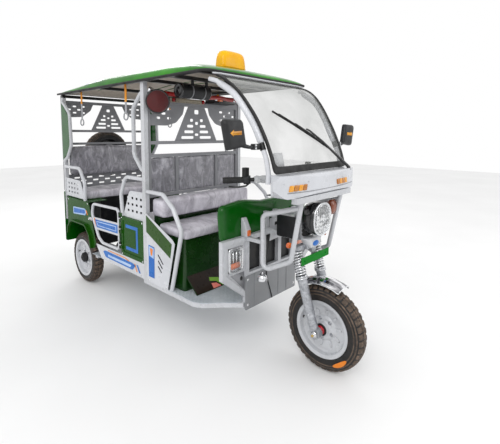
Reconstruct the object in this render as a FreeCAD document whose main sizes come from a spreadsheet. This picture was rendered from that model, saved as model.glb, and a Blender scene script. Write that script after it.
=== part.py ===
import FreeCAD, Part
import math
import os
from FreeCAD import Placement, Rotation, Vector

# Electric auto rickshaw: one steered wheel in front, two driven wheels behind,
# an open cab of welded tube under a green canopy roof.
# Frame of the part: +X is forward, +Y is left, +Z is up, floor at Z = 0.
# X = 0 is the middle of the overall length; all sizes are in millimetres.

doc = FreeCAD.newDocument("auto_rickshaw")

# ---------------------------------------------------------------- dimensions
sheet = doc.addObject("Spreadsheet::Sheet", "dims")
DIMS = [
    ("rear_axle_x", -1086.0, "rear axle behind the origin"),
    ("wheelbase", 2279.0, "rear axle to front axle"),
    ("front_wheel_rad", 247.0, "front tyre outer radius"),
    ("rear_wheel_rad", 228.0, "rear tyre outer radius"),
    ("tyre_width", 94.0, "section width of every tyre"),
    ("rim_flange_rad", 166.0, "rim flange radius"),
    ("rim_bead_rad", 151.0, "rim bead seat radius"),
    ("rear_half_track", 359.0, "centre plane of a rear wheel"),
    ("body_half_width", 462.0, "outer face of the side panels"),
    ("rail_y", 230.0, "centre plane of a main rail"),
    ("rail_wide", 40.0, "main rail width"),
    ("rail_deep", 40.0, "main rail depth"),
    ("rail_low", 305.0, "underside of the main rails"),
    ("floor_low", 345.4, "underside of the floor plate"),
    ("floor_thick", 3.0, "floor plate thickness"),
    ("sheet_thick", 3.0, "side sheet thickness"),
    ("pillar_x_size", 40.0, "centre pillar size along X"),
    ("pillar_y_size", 30.0, "centre pillar size along Y"),
    ("pillar_top", 1702.8, "top of the pillars"),
    ("roof_edge_z", 1701.0, "height of the roof edge"),
    ("roof_half_width", 482.0, "half width of the roof"),
    ("roof_crown", 103.0, "rise of the roof over its edge"),
    ("roof_thick", 6.0, "roof shell thickness"),
    ("hoop_rad", 14.0, "armrest and grab tube radius"),
    ("guard_rad", 14.0, "front guard tube radius"),
    ("door_tube_rad", 11.0, "door frame tube radius"),
    ("door_band_thick", 4.0, "door band thickness"),
    ("screen_thick", 4.0, "windscreen thickness"),
    ("screen_rubber", 12.0, "windscreen surround thickness"),
    ("rake_deg", 14.0, "steering axis from the vertical"),
    ("fork_half", 98.0, "fork leg from the middle plane"),
    ("stem_rad", 15.0, "steering stem radius"),
    ("head_tube_rad", 32.0, "head tube outer radius"),
    ("bar_rad", 11.0, "handlebar tube radius"),
    ("grip_rad", 17.0, "handlebar grip radius"),
    ("axle_rad", 8.0, "front axle radius"),
    ("axle_tube_rad", 32.0, "rear axle tube radius"),
    ("hub_stub_rad", 15.0, "rear axle end radius"),
    ("apron_thick", 3.0, "front apron thickness"),
    ("mudguard_rad", 286.0, "mudguard inner radius"),
    ("mudguard_half", 58.0, "mudguard half width"),
    ("frame_tube", 28.0, "front frame tube size"),
]
for row, (alias, value, note) in enumerate(DIMS, start=1):
    sheet.set("A%d" % row, note)
    sheet.set("B%d" % row, repr(value))
    sheet.setAlias("B%d" % row, alias)
doc.recompute()


def val(alias):
    return float(sheet.get(alias))


SHIFT = val("rear_axle_x") + 1150.0


def V(x, y, z):
    # a point given from the middle of the wheelbase region, moved to the origin
    return Vector(x + SHIFT, y, z)


parts = []       # (label, object) of every sub-part


def done(label, obj):
    obj.Label = label
    parts.append((label, obj))
    return obj


def name(label):
    return label.replace("-", "_")


# ------------------------------------------------------------------- helpers
def rounded(points, radii, closed=True):
    """Straight runs joined by arcs: list of Part curves in the plane or space."""
    n = len(points)
    pts = [Vector(*p) if not isinstance(p, Vector) else p for p in points]
    if not isinstance(radii, (list, tuple)):
        radii = [radii] * n
    edges = []
    starts, ends, arcs = [None] * n, [None] * n, [None] * n
    for i in range(n):
        if not closed and i in (0, n - 1) or radii[i] <= 0:
            starts[i] = ends[i] = pts[i]
            continue
        a, b, c = pts[(i - 1) % n], pts[i], pts[(i + 1) % n]
        u = (a - b).normalize()
        w = (c - b).normalize()
        ang = u.getAngle(w)
        if ang > math.pi - 1e-3:
            starts[i] = ends[i] = b
            continue
        cut = radii[i] / math.tan(ang / 2.0)
        s = b + u * cut
        e = b + w * cut
        mid_dir = (u + w).normalize()
        centre = b + mid_dir * (radii[i] / math.sin(ang / 2.0))
        m = centre - mid_dir * radii[i]
        starts[i], ends[i] = s, e
        arcs[i] = (s, m, e)
    for i in range(n):
        if arcs[i]:
            edges.append(Part.Arc(*arcs[i]))
        j = (i + 1) % n
        if not closed and i == n - 1:
            break
        if (ends[i] - starts[j]).Length > 1e-6:
            edges.append(Part.LineSegment(ends[i], starts[j]))
    return edges


def to_sketch(sk, points, radii=0.0):
    """Draw a closed outline of straight runs and arcs in a sketch."""
    for g in rounded([Vector(p[0], p[1], 0) for p in points], radii):
        if isinstance(g, Part.LineSegment):
            sk.addGeometry(g, False)
        else:
            c = g.value(0.5 * (g.FirstParameter + g.LastParameter))
            circ = g.toShape().Curve
            s, e = g.StartPoint, g.EndPoint
            ctr = circ.Center
            a0 = math.atan2(s.y - ctr.y, s.x - ctr.x)
            a1 = math.atan2(e.y - ctr.y, e.x - ctr.x)
            am = math.atan2(c.y - ctr.y, c.x - ctr.x)
            two = 2 * math.pi
            if (am - a0) % two > (a1 - a0) % two:
                a0, a1 = a1, a0
            while a1 < a0:
                a1 += two
            sk.addGeometry(Part.ArcOfCircle(
                Part.Circle(Vector(ctr.x, ctr.y, 0), Vector(0, 0, 1), circ.Radius), a0, a1), False)


def new_body(label):
    b = doc.addObject("PartDesign::Body", name(label))
    b.Label = label
    return b


def new_sketch(b, role, tag):
    sk = b.newObject("Sketcher::SketchObject", tag)
    plane = [f for f in b.Origin.OriginFeatures if f.Role == role][0]
    sk.AttachmentSupport = [(plane, "")]
    sk.MapMode = "FlatFace"
    return sk


def pad(b, role, outlines, length, tag, offset=0.0, reverse=False, radii=None):
    """Outline (and its openings) padded off one of the body's origin planes."""
    sk = new_sketch(b, role, tag + "_sketch")
    for i, o in enumerate(outlines):
        r = 0.0
        if radii:
            r = radii[i] if isinstance(radii, (list, tuple)) else (radii if i == 0 else 0.0)
        if len(o) == 3 and o[0] == "circle":
            sk.addGeometry(Part.Circle(Vector(o[1][0], o[1][1], 0), Vector(0, 0, 1), o[2]), False)
        else:
            to_sketch(sk, o, r)
    if offset:
        sk.AttachmentOffset = Placement(Vector(0, 0, offset), Rotation())
    p = b.newObject("PartDesign::Pad", tag)
    p.Profile = sk
    if isinstance(length, str):
        p.setExpression("Length", length)
    else:
        p.Length = length
    p.Reversed = reverse
    doc.recompute()
    return p


def pocket(b, role, outlines, length, tag, offset=0.0, reverse=False, radii=None, both=False):
    before = b.Shape.Volume
    sk = new_sketch(b, role, tag + "_sketch")
    for i, o in enumerate(outlines):
        r = 0.0
        if radii:
            r = radii[i] if isinstance(radii, (list, tuple)) else radii
        if len(o) == 3 and o[0] == "circle":
            sk.addGeometry(Part.Circle(Vector(o[1][0], o[1][1], 0), Vector(0, 0, 1), o[2]), False)
        else:
            to_sketch(sk, o, r)
    if offset:
        sk.AttachmentOffset = Placement(Vector(0, 0, offset), Rotation())
    p = b.newObject("PartDesign::Pocket", tag)
    p.Profile = sk
    p.Length = length
    p.Reversed = reverse
    doc.recompute()
    if not b.Shape.Volume < before - 1e-3:
        raise RuntimeError("pocket %s of %s cuts nothing" % (tag, b.Label))
    return p


def place(obj, x=0.0, y=0.0, z=0.0, rot=None):
    obj.Placement = Placement(V(x, y, z), rot or Rotation())
    obj.setExpression("Placement.Base.x", "dims.rear_axle_x + %r" % (x + 1150.0))
    return obj


def box(tag, lo, hi, length=None, width=None, height=None):
    b = doc.addObject("Part::Box", tag)
    b.Length, b.Width, b.Height = hi[0] - lo[0], hi[1] - lo[1], hi[2] - lo[2]
    for prop, expr in (("Length", length), ("Width", width), ("Height", height)):
        if expr:
            b.setExpression(prop, expr)
    return place(b, *lo)


def cyl(tag, a, b_, radius):
    """Cylinder from point a to point b_; radius is a number or an expression."""
    p, q = V(*a), V(*b_)
    c = doc.addObject("Part::Cylinder", tag)
    c.Height = (q - p).Length
    if isinstance(radius, str):
        c.setExpression("Radius", radius)
    else:
        c.Radius = radius
    c.Placement = Placement(p, Rotation(Vector(0, 0, 1), q - p))
    return c


def cone(tag, a, b_, r1, r2):
    p, q = V(*a), V(*b_)
    c = doc.addObject("Part::Cone", tag)
    c.Radius1, c.Radius2, c.Height = r1, r2, (q - p).Length
    c.Placement = Placement(p, Rotation(Vector(0, 0, 1), q - p))
    return c


def tube(tag, points, radius, bends):
    """Round bar swept along straight runs joined by tangent arcs."""
    pts = [V(*p) for p in points]
    edges = [g.toShape() for g in rounded(pts, bends, closed=False)]
    path = doc.addObject("Part::Feature", tag + "_path")
    path.Shape = Part.Wire(edges)
    sec = doc.addObject("Part::Circle", tag + "_section")
    if isinstance(radius, str):
        sec.setExpression("Radius", radius)
    else:
        sec.Radius = radius
    sec.Placement = Placement(pts[0], Rotation(Vector(0, 0, 1), pts[1] - pts[0]))
    sw = doc.addObject("Part::Sweep", tag)
    sw.Sections = [sec]
    sw.Spine = (path, ["Edge%d" % (i + 1) for i in range(len(edges))])
    sw.Solid = True
    sw.Frenet = False
    sw.Transition = "Right corner"
    return sw


def ring_tube(tag, points, radius, bends):
    """Closed frame of round bar: the path is a closed loop of runs and arcs."""
    pts = [V(*p) for p in points]
    edges = [g.toShape() for g in rounded(pts, bends, closed=True)]
    wire = Part.Wire(Part.__sortEdges__(edges))
    path = doc.addObject("Part::Feature", tag + "_path")
    path.Shape = wire
    e0 = wire.Edges[0]
    start = e0.valueAt(e0.FirstParameter)
    tan = e0.tangentAt(e0.FirstParameter)
    sec = doc.addObject("Part::Circle", tag + "_section")
    if isinstance(radius, str):
        sec.setExpression("Radius", radius)
    else:
        sec.Radius = radius
    sec.Placement = Placement(start, Rotation(Vector(0, 0, 1), tan))
    sw = doc.addObject("Part::Sweep", tag)
    sw.Sections = [sec]
    sw.Spine = (path, ["Edge%d" % (i + 1) for i in range(len(wire.Edges))])
    sw.Solid = True
    sw.Frenet = False
    return sw


def fuse(tag, objs):
    if len(objs) == 1:
        return objs[0]
    f = doc.addObject("Part::MultiFuse", tag)
    f.Shapes = objs
    f.Refine = True
    return f


def cut(tag, base, tool):
    c = doc.addObject("Part::Cut", tag)
    c.Base = base
    c.Tool = tool
    c.Refine = True
    return c


def group(tag, objs):
    g = doc.addObject("Part::Compound", tag)
    g.Links = objs
    return g


def mirrored(tag, obj):
    m = doc.addObject("Part::Mirroring", tag)
    m.Source = obj
    m.Normal = Vector(0, 1, 0)
    m.Base = Vector(0, 0, 0)
    return m


def pair(label, obj):
    """The right-hand piece and its left-hand twin in one sub-part."""
    return done(label, group(label, [obj, mirrored(name(label) + "_left", obj)]))


HW = val("body_half_width")
AX_F = -1150.0 + val("wheelbase")
RAKE = math.radians(val("rake_deg"))


def steer_x(z):
    # the steering axis in the middle plane
    return 1024.0 - math.tan(RAKE) * (z - 530.0)


# ------------------------------------------------------------- chassis frame
bits = []
for s in (-1, 1):
    y = s * val("rail_y") - val("rail_wide") / 2
    bits.append(box("rail_%d" % (s + 1), (-1390, y, val("rail_low")), (718, y + 40, 345),
                    width="dims.rail_wide", height="dims.rail_deep"))
    y = -380 if s < 0 else 340
    bits.append(box("sill_%d" % (s + 1), (-830, y, 305), (-20, y + 40, 345),
                    height="dims.rail_deep"))
for i, (x, half) in enumerate(((-1390, 290), (-850, 430), (-440, 375), (-50, 430), (330, 432), (662, 225))):
    bits.append(box("cross_%d" % i, (x, -half, 305), (x + 40, half, 345), height="dims.rail_deep"))
edge_o = [(-50, -460), (483, -460), (540, -440), (580, -398), (622, -349), (718, -262), (718, 262),
          (622, 349), (580, 398), (540, 440), (483, 460), (-50, 460)]
edge_i = [(-22, -432), (476, -432), (521, -416), (556, -379), (596, -331), (686, -250), (686, 250),
          (596, 331), (556, 379), (521, 416), (476, 432), (-22, 432)]
b = new_body("front_sill_loop")
pad(b, "XY_Plane", [edge_o, edge_i], 27.0, "sill_pad", offset=318.0)
place(b)
bits.append(b)
weld = fuse("chassis_weld", bits)
holes_r = group("bumper_holes", [cyl("bumper_hole_r", (-1400, -150, 325), (-1340, -150, 325), 5.5),
                                 cyl("bumper_hole_l", (-1400, 150, 325), (-1340, 150, 325), 5.5)])
done("chassis_frame", cut("chassis_frame", weld, holes_r))

# ---------------------------------------------------------------- floor plate
b = new_body("floor_plate")
floor_out = [(-845, -459), (-66, -459), (-66, -430), (0, -430), (0, -459), (482, -459), (539, -440), (579, -398),
             (618, -351), (692, -285), (692, 285), (618, 351), (579, 398), (539, 440), (482, 459), (0, 459),
             (0, 430), (-66, 430), (-66, 459), (-845, 459)]
pad(b, "XY_Plane", [floor_out], "dims.floor_thick", "floor_pad", offset=val("floor_low"))
place(b)
done("floor_plate", b)

# ---------------------------------------------------------------- front frame
T = val("frame_tube")
bits = []
for s in (-1, 1):
    y0, y1 = sorted((s * 218, s * 246))
    bits.append(box("inner_post_%d" % (s + 1), (700, y0, 345), (728, y1, 757), length="dims.frame_tube"))
    y0, y1 = sorted((s * 412, s * 440))
    bits.append(box("outer_post_%d" % (s + 1), (700, y0, 530), (728, y1, 757), length="dims.frame_tube"))
    d = new_body("front_diagonal_%d" % (s + 1))
    pad(d, "YZ_Plane", [[(s * 440, 530), (s * 440, 560), (s * 412, 560), (s * 232, 404), (s * 232, 368)]],
        "dims.frame_tube", "diag_pad")
    place(d, 700)
    bits.append(d)
bits.append(box("top_rail", (700, -440, 728), (728, 440, 757), length="dims.frame_tube"))
bits.append(box("mid_rail", (700, -230, 500), (728, 230, 528), length="dims.frame_tube"))
bits.append(box("low_rail", (700, -230, 349), (728, 230, 377), length="dims.frame_tube"))
for s in (-1, 1):
    y0, y1 = sorted((s * 34, s * 60))
    bits.append(box("head_arm_%d" % (s + 1), (718, y0, 740), (965, y1, 772)))
    bits.append(box("head_arm_up_%d" % (s + 1), (718, y0, 850), (935, y1, 876)))
    bits.append(box("head_post_%d" % (s + 1), (700, y0, 740), (728, y1, 876)))
for s in (-1, 1):
    y0, y1 = sorted((s * 62, s * 94))
    bits.append(box("centre_strut_%d" % (s + 1), (700, y0, 528), (728, y1, 728), length="dims.frame_tube"))
head_lo, head_hi = 738.0, 905.0
bits.append(cyl("head_tube", (steer_x(head_lo), 0, head_lo), (steer_x(head_hi), 0, head_hi), "dims.head_tube_rad"))
bits.append(box("head_web", (906, -60, 745), (960, 60, 767)))
bits.append(box("head_web_up", (880, -60, 853), (960, 60, 873)))
bits.append(box("headlamp_bracket", (960, -24, 856), (1000, 24, 870)))
frame = fuse("front_frame_solid", bits)
bore = cyl("head_bore", (steer_x(700), 0, 700), (steer_x(940), 0, 940), 20.0)
done("front_frame", cut("front_frame", frame, bore))

# ---------------------------------------------------------------- front guard
bits = [box("cowl_bar", (1080, -285, 1000), (1116, 285, 1032))]
for s in (-1, 1):
    loop = [(1090, s * 208, 1004), (1020, s * 200, 660), (846, s * 235, 574), (846, s * 235, 900), (1076, s * 208, 968)]
    bits.append(tube("guard_loop_%d" % (s + 1), loop, "dims.guard_rad", [0, 34, 34, 34, 0]))
    y0, y1 = sorted((s * 226, s * 246))
    bits.append(box("guard_stub_%d" % (s + 1), (728, y0, 732), (846, y1, 754)))
done("front_guard", fuse("front_guard", bits))

# ---------------------------------------------------------------- front apron
b = new_body("front_apron")
pad(b, "YZ_Plane", [[(-254, 300), (254, 300), (254, 512), (-254, 512)]], "dims.apron_thick", "apron_pad", radii=8.0)
place(b, 728)
done("front_apron", b)
bh = box("inner_bulkhead", (697, -245, 505), (700, 245, 726))
done("inner_bulkhead", bh)
hose = tube("brake_cable", [(745, -47, 736), (747, -75, 600), (734.8, -63, 468), (734.8, -11, 325), (734.8, -6, 303)], 3.4,
            [0, 60, 40, 20, 0])
done("brake_cable", hose)

# ----------------------------------------------------------------- leg shield


def soft_front(b_, feat, depth, r, tag):
    # round over every edge of the outline at the front end of a pad
    names = ["Edge%d" % (i + 1) for i, e in enumerate(feat.Shape.Edges)
             if all(abs(v.X - depth) < 1e-3 for v in e.Vertexes)]
    f = b_.newObject("PartDesign::Fillet", tag)
    f.Base = (feat, names)
    f.Radius = r
    doc.recompute()
    return f


def soft_shell(tag, x0, depth, outer, inner, r_out, r_in, wall, fillet):
    """A tray open to the rear: outline, depth and rounded front edges, even wall."""
    bo = new_body(tag + "_outer")
    fo = pad(bo, "YZ_Plane", [outer], depth, tag + "_outer_pad", radii=[r_out])
    soft_front(bo, fo, depth, fillet, tag + "_outer_round")
    place(bo, x0)
    bi = new_body(tag + "_inner")
    fi = pad(bi, "YZ_Plane", [inner], depth - wall + 4.0, tag + "_inner_pad", radii=[r_in])
    soft_front(bi, fi, depth - wall + 4.0, fillet - wall, tag + "_inner_round")
    place(bi, x0 - 4.0)
    return cut(tag + "_tray", bo, bi)


ls_o = [(-406, 741), (406, 741), (422, 900), (413, 950), (225, 969), (60, 944), (-60, 944), (-225, 969), (-413, 950), (-422, 900)]
ls_i = [(-402, 745), (402, 745), (418, 900), (409, 946.5), (225, 965), (60, 940), (-60, 940), (-225, 965), (-409, 946.5), (-418, 900)]
done("leg_shield", soft_shell("leg_shield", 666, 34.0, ls_o, ls_i, [28, 28, 100, 38, 260, 150, 150, 260, 38, 100],
                              [24, 24, 96, 34, 256, 154, 154, 256, 34, 96], 4.0, 22.0))

# ----------------------------------------------------------------- front cowl
co = [(-352, 1032), (352, 1032), (416, 1082), (416, 1118), (376, 1152), (-376, 1152), (-416, 1118), (-416, 1082)]
ci = [(-350, 1036), (350, 1036), (412, 1085), (412, 1115.5), (374, 1148), (-374, 1148), (-412, 1115.5), (-412, 1085)]
plan_o = [(1010, -370), (1036, -376), (1050, -410), (1070, -402), (1092, -352), (1110, -240), (1118, -90),
          (1118, 90), (1110, 240), (1092, 352), (1070, 402), (1050, 410), (1036, 376), (1010, 370)]
plan_i = [(1006, -366), (1039, -371), (1052.5, -404), (1066.5, -397.5), (1087.5, -350), (1105.5, -239), (1113.5, -90),
          (1113.5, 90), (1105.5, 239), (1087.5, 350), (1066.5, 397.5), (1052.5, 404), (1039, 371), (1006, 366)]
plan_ro = [0, 8, 8, 26, 110, 300, 300, 300, 300, 110, 26, 8, 8, 0]
plan_ri = [0, 7, 5, 18, 106, 296, 296, 296, 296, 106, 18, 5, 7, 0]
side_o = [(1010, 1032), (1118.5, 1032), (1118.5, 1152), (1010, 1152)]
side_i = [(1006, 1036), (1114, 1036), (1114, 1148), (1006, 1148)]


def bowed(tag, front, plan, side, r_front, r_plan, r_side, x0):
    """Solid shared by a front outline, a plan outline and a side outline."""
    fb_ = new_body(tag + "_front")
    pad(fb_, "YZ_Plane", [front], 1120.0 - x0, tag + "_front_pad", radii=[r_front])
    place(fb_, x0)
    pb_ = new_body(tag + "_plan")
    pad(pb_, "XY_Plane", [plan], 140.0, tag + "_plan_pad", offset=1022.0, radii=[r_plan])
    place(pb_)
    sb_ = new_body(tag + "_side")
    pad(sb_, "XZ_Plane", [side], 900.0, tag + "_side_pad", offset=-450.0, radii=[r_side])
    place(sb_)
    c1 = doc.addObject("Part::Common", tag + "_common_a")
    c1.Base, c1.Tool = fb_, pb_
    c2 = doc.addObject("Part::Common", tag + "_common_b")
    c2.Base, c2.Tool = c1, sb_
    doc.recompute()
    return c2


cowl_out = bowed("cowl_outer", co, plan_o, side_o, [60, 60, 34, 30, 30, 30, 30, 34], plan_ro, [0, 20, 28, 0], 1010)
cowl_in = bowed("cowl_inner", ci, plan_i, side_i, [57, 57, 30, 26, 26, 26, 26, 30], plan_ri, [0, 16, 24, 0], 1006)
done("front_cowl", cut("cowl_tray", cowl_out, cowl_in))
b = new_body("cowl_envelope")
pad(b, "YZ_Plane", [co], 108.0, "cowl_envelope_pad", radii=[[30, 30, 26, 20, 20, 20, 20, 26]])
place(b, 1010)
cowl_full = b

# ------------------------------------------------------------------ dashboard
b = new_body("dashboard")
pad(b, "XY_Plane", [[(948, -330), (1060, -336), (1060, 336), (948, 330)]], 4.0, "dash_pad", offset=1036.3)
place(b)
done("dashboard", b)

# ------------------------------------------------------------- windscreen
prof = [(654, 1682), (800, 1588), (870, 1500), (925, 1415), (972, 1325), (1008, 1238), (1032, 1154)]


def band(points, t):
    """Offset outline of an open profile: the strip of thickness t behind it."""
    n = len(points)
    out = []
    for i, (x, z) in enumerate(points):
        a = points[max(i - 1, 0)]
        c = points[min(i + 1, n - 1)]
        dx, dz = c[0] - a[0], c[1] - a[1]
        ln = math.hypot(dx, dz)
        out.append((x + dz / ln * t, z - dx / ln * t))
    return out


def opening(grow, z_low, z_high):
    # outline of the screen opening, wider towards the roof
    run = [(346 + grow, z_low), (351 + grow, 1340), (358 + grow, 1450), (379 + grow, 1580), (406 + grow, z_high)]
    return [(-run[0][0], z_low)] + run + [(-y, z) for y, z in run[::-1][:-1]]


opening_radii = [30.0, 30.0, 600.0, 600.0, 500.0, 26.0, 26.0, 500.0, 600.0, 600.0]


def curved_sheet(tag, pts, t, y_half):
    b_ = new_body(tag)
    sk = new_sketch(b_, "XZ_Plane", tag + "_sketch")
    inner = band(pts, t)
    fwd = [Vector(p[0], p[1], 0) for p in pts]
    back = [Vector(p[0], p[1], 0) for p in inner]
    c1 = Part.BSplineCurve()
    c1.interpolate(fwd)
    c2 = Part.BSplineCurve()
    c2.interpolate(back)
    sk.addGeometry(c1, False)
    sk.addGeometry(c2, False)
    sk.addGeometry(Part.LineSegment(fwd[0], back[0]), False)
    sk.addGeometry(Part.LineSegment(fwd[-1], back[-1]), False)
    sk.AttachmentOffset = Placement(Vector(0, 0, -y_half), Rotation())
    p_ = b_.newObject("PartDesign::Pad", tag + "_pad")
    p_.Profile = sk
    p_.Length = 2 * y_half
    doc.recompute()
    return b_


glass = curved_sheet("screen_sheet", prof, val("screen_thick"), 470.0)
place(glass)
trim = new_body("screen_outline")
pad(trim, "YZ_Plane", [opening(0.0, 1192.0, 1672.0)], 600.0, "outline_pad", radii=[opening_radii])
place(trim, 560)
g = doc.addObject("Part::Common", "windscreen")
g.Base = glass
g.Tool = trim
done("windscreen", g)

rub = curved_sheet("rubber_sheet", [(p[0] + 4 * 0.6, p[1] + 4 * 0.6) for p in prof], val("screen_rubber"), 470.0)
place(rub)
ro = new_body("rubber_outline")
pad(ro, "YZ_Plane", [opening(17.0, 1153.0, 1692.0), opening(0.5, 1191.5, 1672.5)], 600.0, "rubber_pad",
    radii=[opening_radii, opening_radii])
place(ro, 560)
g = doc.addObject("Part::Common", "windscreen_rubber")
g.Base = rub
g.Tool = ro
done("windscreen_rubber", g)

# --------------------------------------------------------- windscreen pillars
pl = [(616, -430, 1662), (664, -416, 1647), (774, -403, 1572), (846, -390, 1484), (898, -377, 1400),
      (944, -368, 1310), (978, -366, 1228), (994, -368, 1150), (996, -376, 1104)]
pil = tube("screen_pillar", [(p[0], p[1], p[2]) for p in pl], 13.0, [0, 60, 200, 250, 250, 250, 200, 150, 0])
pair("windscreen_pillars", cut("screen_pillar_right", pil, cowl_full))

# -------------------------------------------------------------- centre pillars
post = box("centre_post", (-42, -HW, 345), (-2, -HW + 30, 1702.8), length="dims.pillar_x_size", width="dims.pillar_y_size")
grab = tube("grab_hoop", [(-30, -447, 1636), (-64, -447, 1622), (-160, -447, 1530), (-160, -447, 1210), (-66, -447, 1112), (-30, -447, 1100)],
            "dims.hoop_rad", [0, 10, 60, 60, 10, 0])
pair("centre_pillars", fuse("centre_pillar_right", [post, grab]))

# ---------------------------------------------------------------- rear pillars
post = box("rear_post", (-1390, -450, 560), (-1360, -420, 1675.8))
bow = tube("rear_bow", [(-1375, -447, 1638), (-1330, -447, 1608), (-1228, -447, 1530), (-1214, -447, 1250), (-1300, -447, 1138), (-1375, -447, 1100)],
           "dims.hoop_rad", [0, 30, 70, 70, 30, 0])
rear_right = fuse("rear_pillar_right", [post, bow])
bits = [rear_right, mirrored("rear_pillar_left", rear_right), box("rear_beam", (-1390, -450, 560), (-1360, 450, 590))]
for s in (-1, 1):
    y0, y1 = sorted((s * 215, s * 245))
    bits.append(box("rear_leg_%d" % (s + 1), (-1390, y0, 345), (-1360, y1, 570)))
done("rear_pillars", fuse("rear_pillars", bits))

# --------------------------------------------------- armrest hoops and sheets
YH = -HW + 15


def slot_grid(x0, x1, z0, z1, nx, nz, w_, h_):
    out = []
    for j in range(nz):
        for i in range(nx):
            cx = x0 + (x1 - x0) * (i + 0.5) / nx
            cz = z0 + (z1 - z0) * (j + 0.5) / nz
            out.append([(cx - w_ / 2, cz - h_ / 2), (cx + w_ / 2, cz - h_ / 2), (cx + w_ / 2, cz + h_ / 2), (cx - w_ / 2, cz + h_ / 2)])
    return out


front_h = tube("front_armrest", [(-2, YH, 966), (178, YH, 966), (284, YH, 890), (372, YH, 752), (263, YH, 352.4)],
               "dims.hoop_rad", [0, 70, 60, 60, 0])
mid_h = tube("middle_armrest", [(-42, YH, 1044), (-290, YH, 1044), (-358, YH, 905), (-341, YH, 747.6)],
             "dims.hoop_rad", [0, 70, 60, 0])
rear_h = tube("rear_armrest", [(-1360, YH, 1052), (-1060, YH, 1052), (-972, YH, 930), (-972, YH, 778)],
              "dims.hoop_rad", [0, 80, 70, 0])
b = new_body("middle_armrest_panel")
o = [(-334, 748), (-42, 748), (-42, 952), (-238, 948)]
pad(b, "XZ_Plane", [o] + slot_grid(-285, -60, 780, 920, 4, 3, 26, 17), "dims.sheet_thick", "panel_pad",
    radii=[[6, 0, 0, 40]] + [4.0] * 12)
place(b, 0, -444)
b2 = new_body("rear_armrest_panel")
o = [(-1360, 786), (-980, 786), (-1062, 944), (-1360, 950)]
pad(b2, "XZ_Plane", [o] + slot_grid(-1330, -1090, 808, 925, 4, 3, 26, 17), "dims.sheet_thick", "panel_pad2",
    radii=[[0, 6, 40, 0]] + [4.0] * 12)
place(b2, 0, -444)
pair("armrests", group("armrests_right", [front_h, fuse("middle_armrest_welded", [mid_h, b])]))
pair("rear_armrests", fuse("rear_armrest_welded", [rear_h, b2]))

# ---------------------------------------------------------------- side gussets
b = new_body("side_gusset_right")
o = [(-2, 345), (234, 345), (318, 668), (296, 690), (-2, 818)]
slots = []
for (xa, za), (xb, zb_) in (((130, 560), (190, 504)), ((130, 519), (180, 474)), ((130, 480), (170, 444))):
    ln = math.hypot(xb - xa, zb_ - za)
    nx_, nz_ = -(zb_ - za) / ln * 6.5, (xb - xa) / ln * 6.5
    slots.append([(xa - nx_, za - nz_), (xb - nx_, zb_ - nz_), (xb + nx_, zb_ + nz_), (xa + nx_, za + nz_)])
pad(b, "XZ_Plane", [o] + slots, "dims.sheet_thick", "gusset_pad", radii=[[0, 4, 10, 10, 0]] + [4.0] * 3)
place(b, 0, -HW + 3)
gusset = b

# ---------------------------------------------------------------- side panels
b = new_body("side_panel_right")
pad(b, "XZ_Plane", [[(-348, 454), (-42, 454), (-42, 746), (-348, 746)]], 22.0, "side_panel_pad", radii=[[6, 0, 0, 6]])
pocket(b, "XZ_Plane", [[(-322, 482), (-66, 482), (-66, 720), (-322, 720)]], 5.0, "side_panel_recess",
       offset=22.0, reverse=False, radii=[10.0])
place(b, 0, -HW + 22)
pin = cyl("hinge_pin", (-357, -HW - 4, 500), (-357, -HW - 4, 770), 4.0)
bits = [b, pin]
for i, z in enumerate((500, 620, 748)):
    bits.append(cyl("hinge_fixed_%d" % i, (-357, -HW - 4, z), (-357, -HW - 4, z + 22), 8.0))
    bits.append(box("hinge_leaf_%d" % i, (-357, -HW - 7, z), (-330, -HW + 1, z + 22)) if i != 1 else
                box("hinge_leaf_%d" % i, (-357, -HW - 7, z), (-330, -HW + 1, z + 22)))
panel = fuse("side_panel_hinged", bits)
pair("side_panels", panel)

# --------------------------------------------------------------------- rockers
b = new_body("rocker_right")
pad(b, "XZ_Plane", [[(-766, 452), (-671, 345), (-42, 345), (-42, 454)]], "dims.sheet_thick", "rocker_pad",
    radii=[[6, 20, 0, 0]])
place(b, 0, -HW + 3)
pair("lower_side_sheets", group("lower_side_sheets_right", [gusset, b]))

# -------------------------------------------------------------------- rear fenders
b = new_body("fender_right")
arch = [(-840, 399), (-862, 500), (-935, 572), (-1215, 572), (-1284, 500), (-1290, 447)]
rim_of_arch = [(-828, 399), (-851, 506), (-929, 584), (-1221, 584), (-1296, 507), (-1302, 447)]
outline = [(-1312, 778), (-892, 778), (-872, 756), (-768, 456), (-800, 399)] + arch + [(-1312, 447)]
pad(b, "XZ_Plane", [outline], "dims.sheet_thick", "fender_side", radii=[[0, 6, 10, 16, 10, 0, 60, 60, 60, 60, 0, 4]])
pad(b, "XZ_Plane", [[(-1340, 775), (-892, 775), (-892, 778), (-1340, 778)]], 169.0, "fender_top", reverse=True)
pad(b, "XZ_Plane", [rim_of_arch + arch[::-1]], 24.0, "fender_lip", radii=[[0, 72, 72, 72, 72, 0, 0, 60, 60, 60, 60, 0]])
place(b, 0, -HW + 3)
pair("rear_fenders", b)

# ------------------------------------------------------------- roof frame
bits = []
for s in (-1, 1):
    y0, y1 = sorted((s * 430, s * 460))
    bits.append(box("roof_rail_%d" % (s + 1), (-1000, y0, 1703), (552, y1, 1724)))
    bits.append(box("roof_rail_rear_%d" % (s + 1), (-1390, y0, 1701), (-995, y1, 1707)))
    for i, x in enumerate((-600, 60, 440)):
        y0, y1 = sorted((s * 455, s * 475.0))
        bits.append(box("roof_tab_%d_%d" % (s + 1, i), (x, y0, 1703), (x + 24, y1, 1708)))
bits.append(box("roof_bow_rear", (-1390, -450, 1676), (-1360, 450, 1701.5)))
for i, x in enumerate((-700, -37, 245, 522)):
    bits.append(box("roof_bow_%d" % i, (x, -440, 1703), (x + 30, 440, 1725)))
done("roof_frame", fuse("roof_frame", bits))

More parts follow.
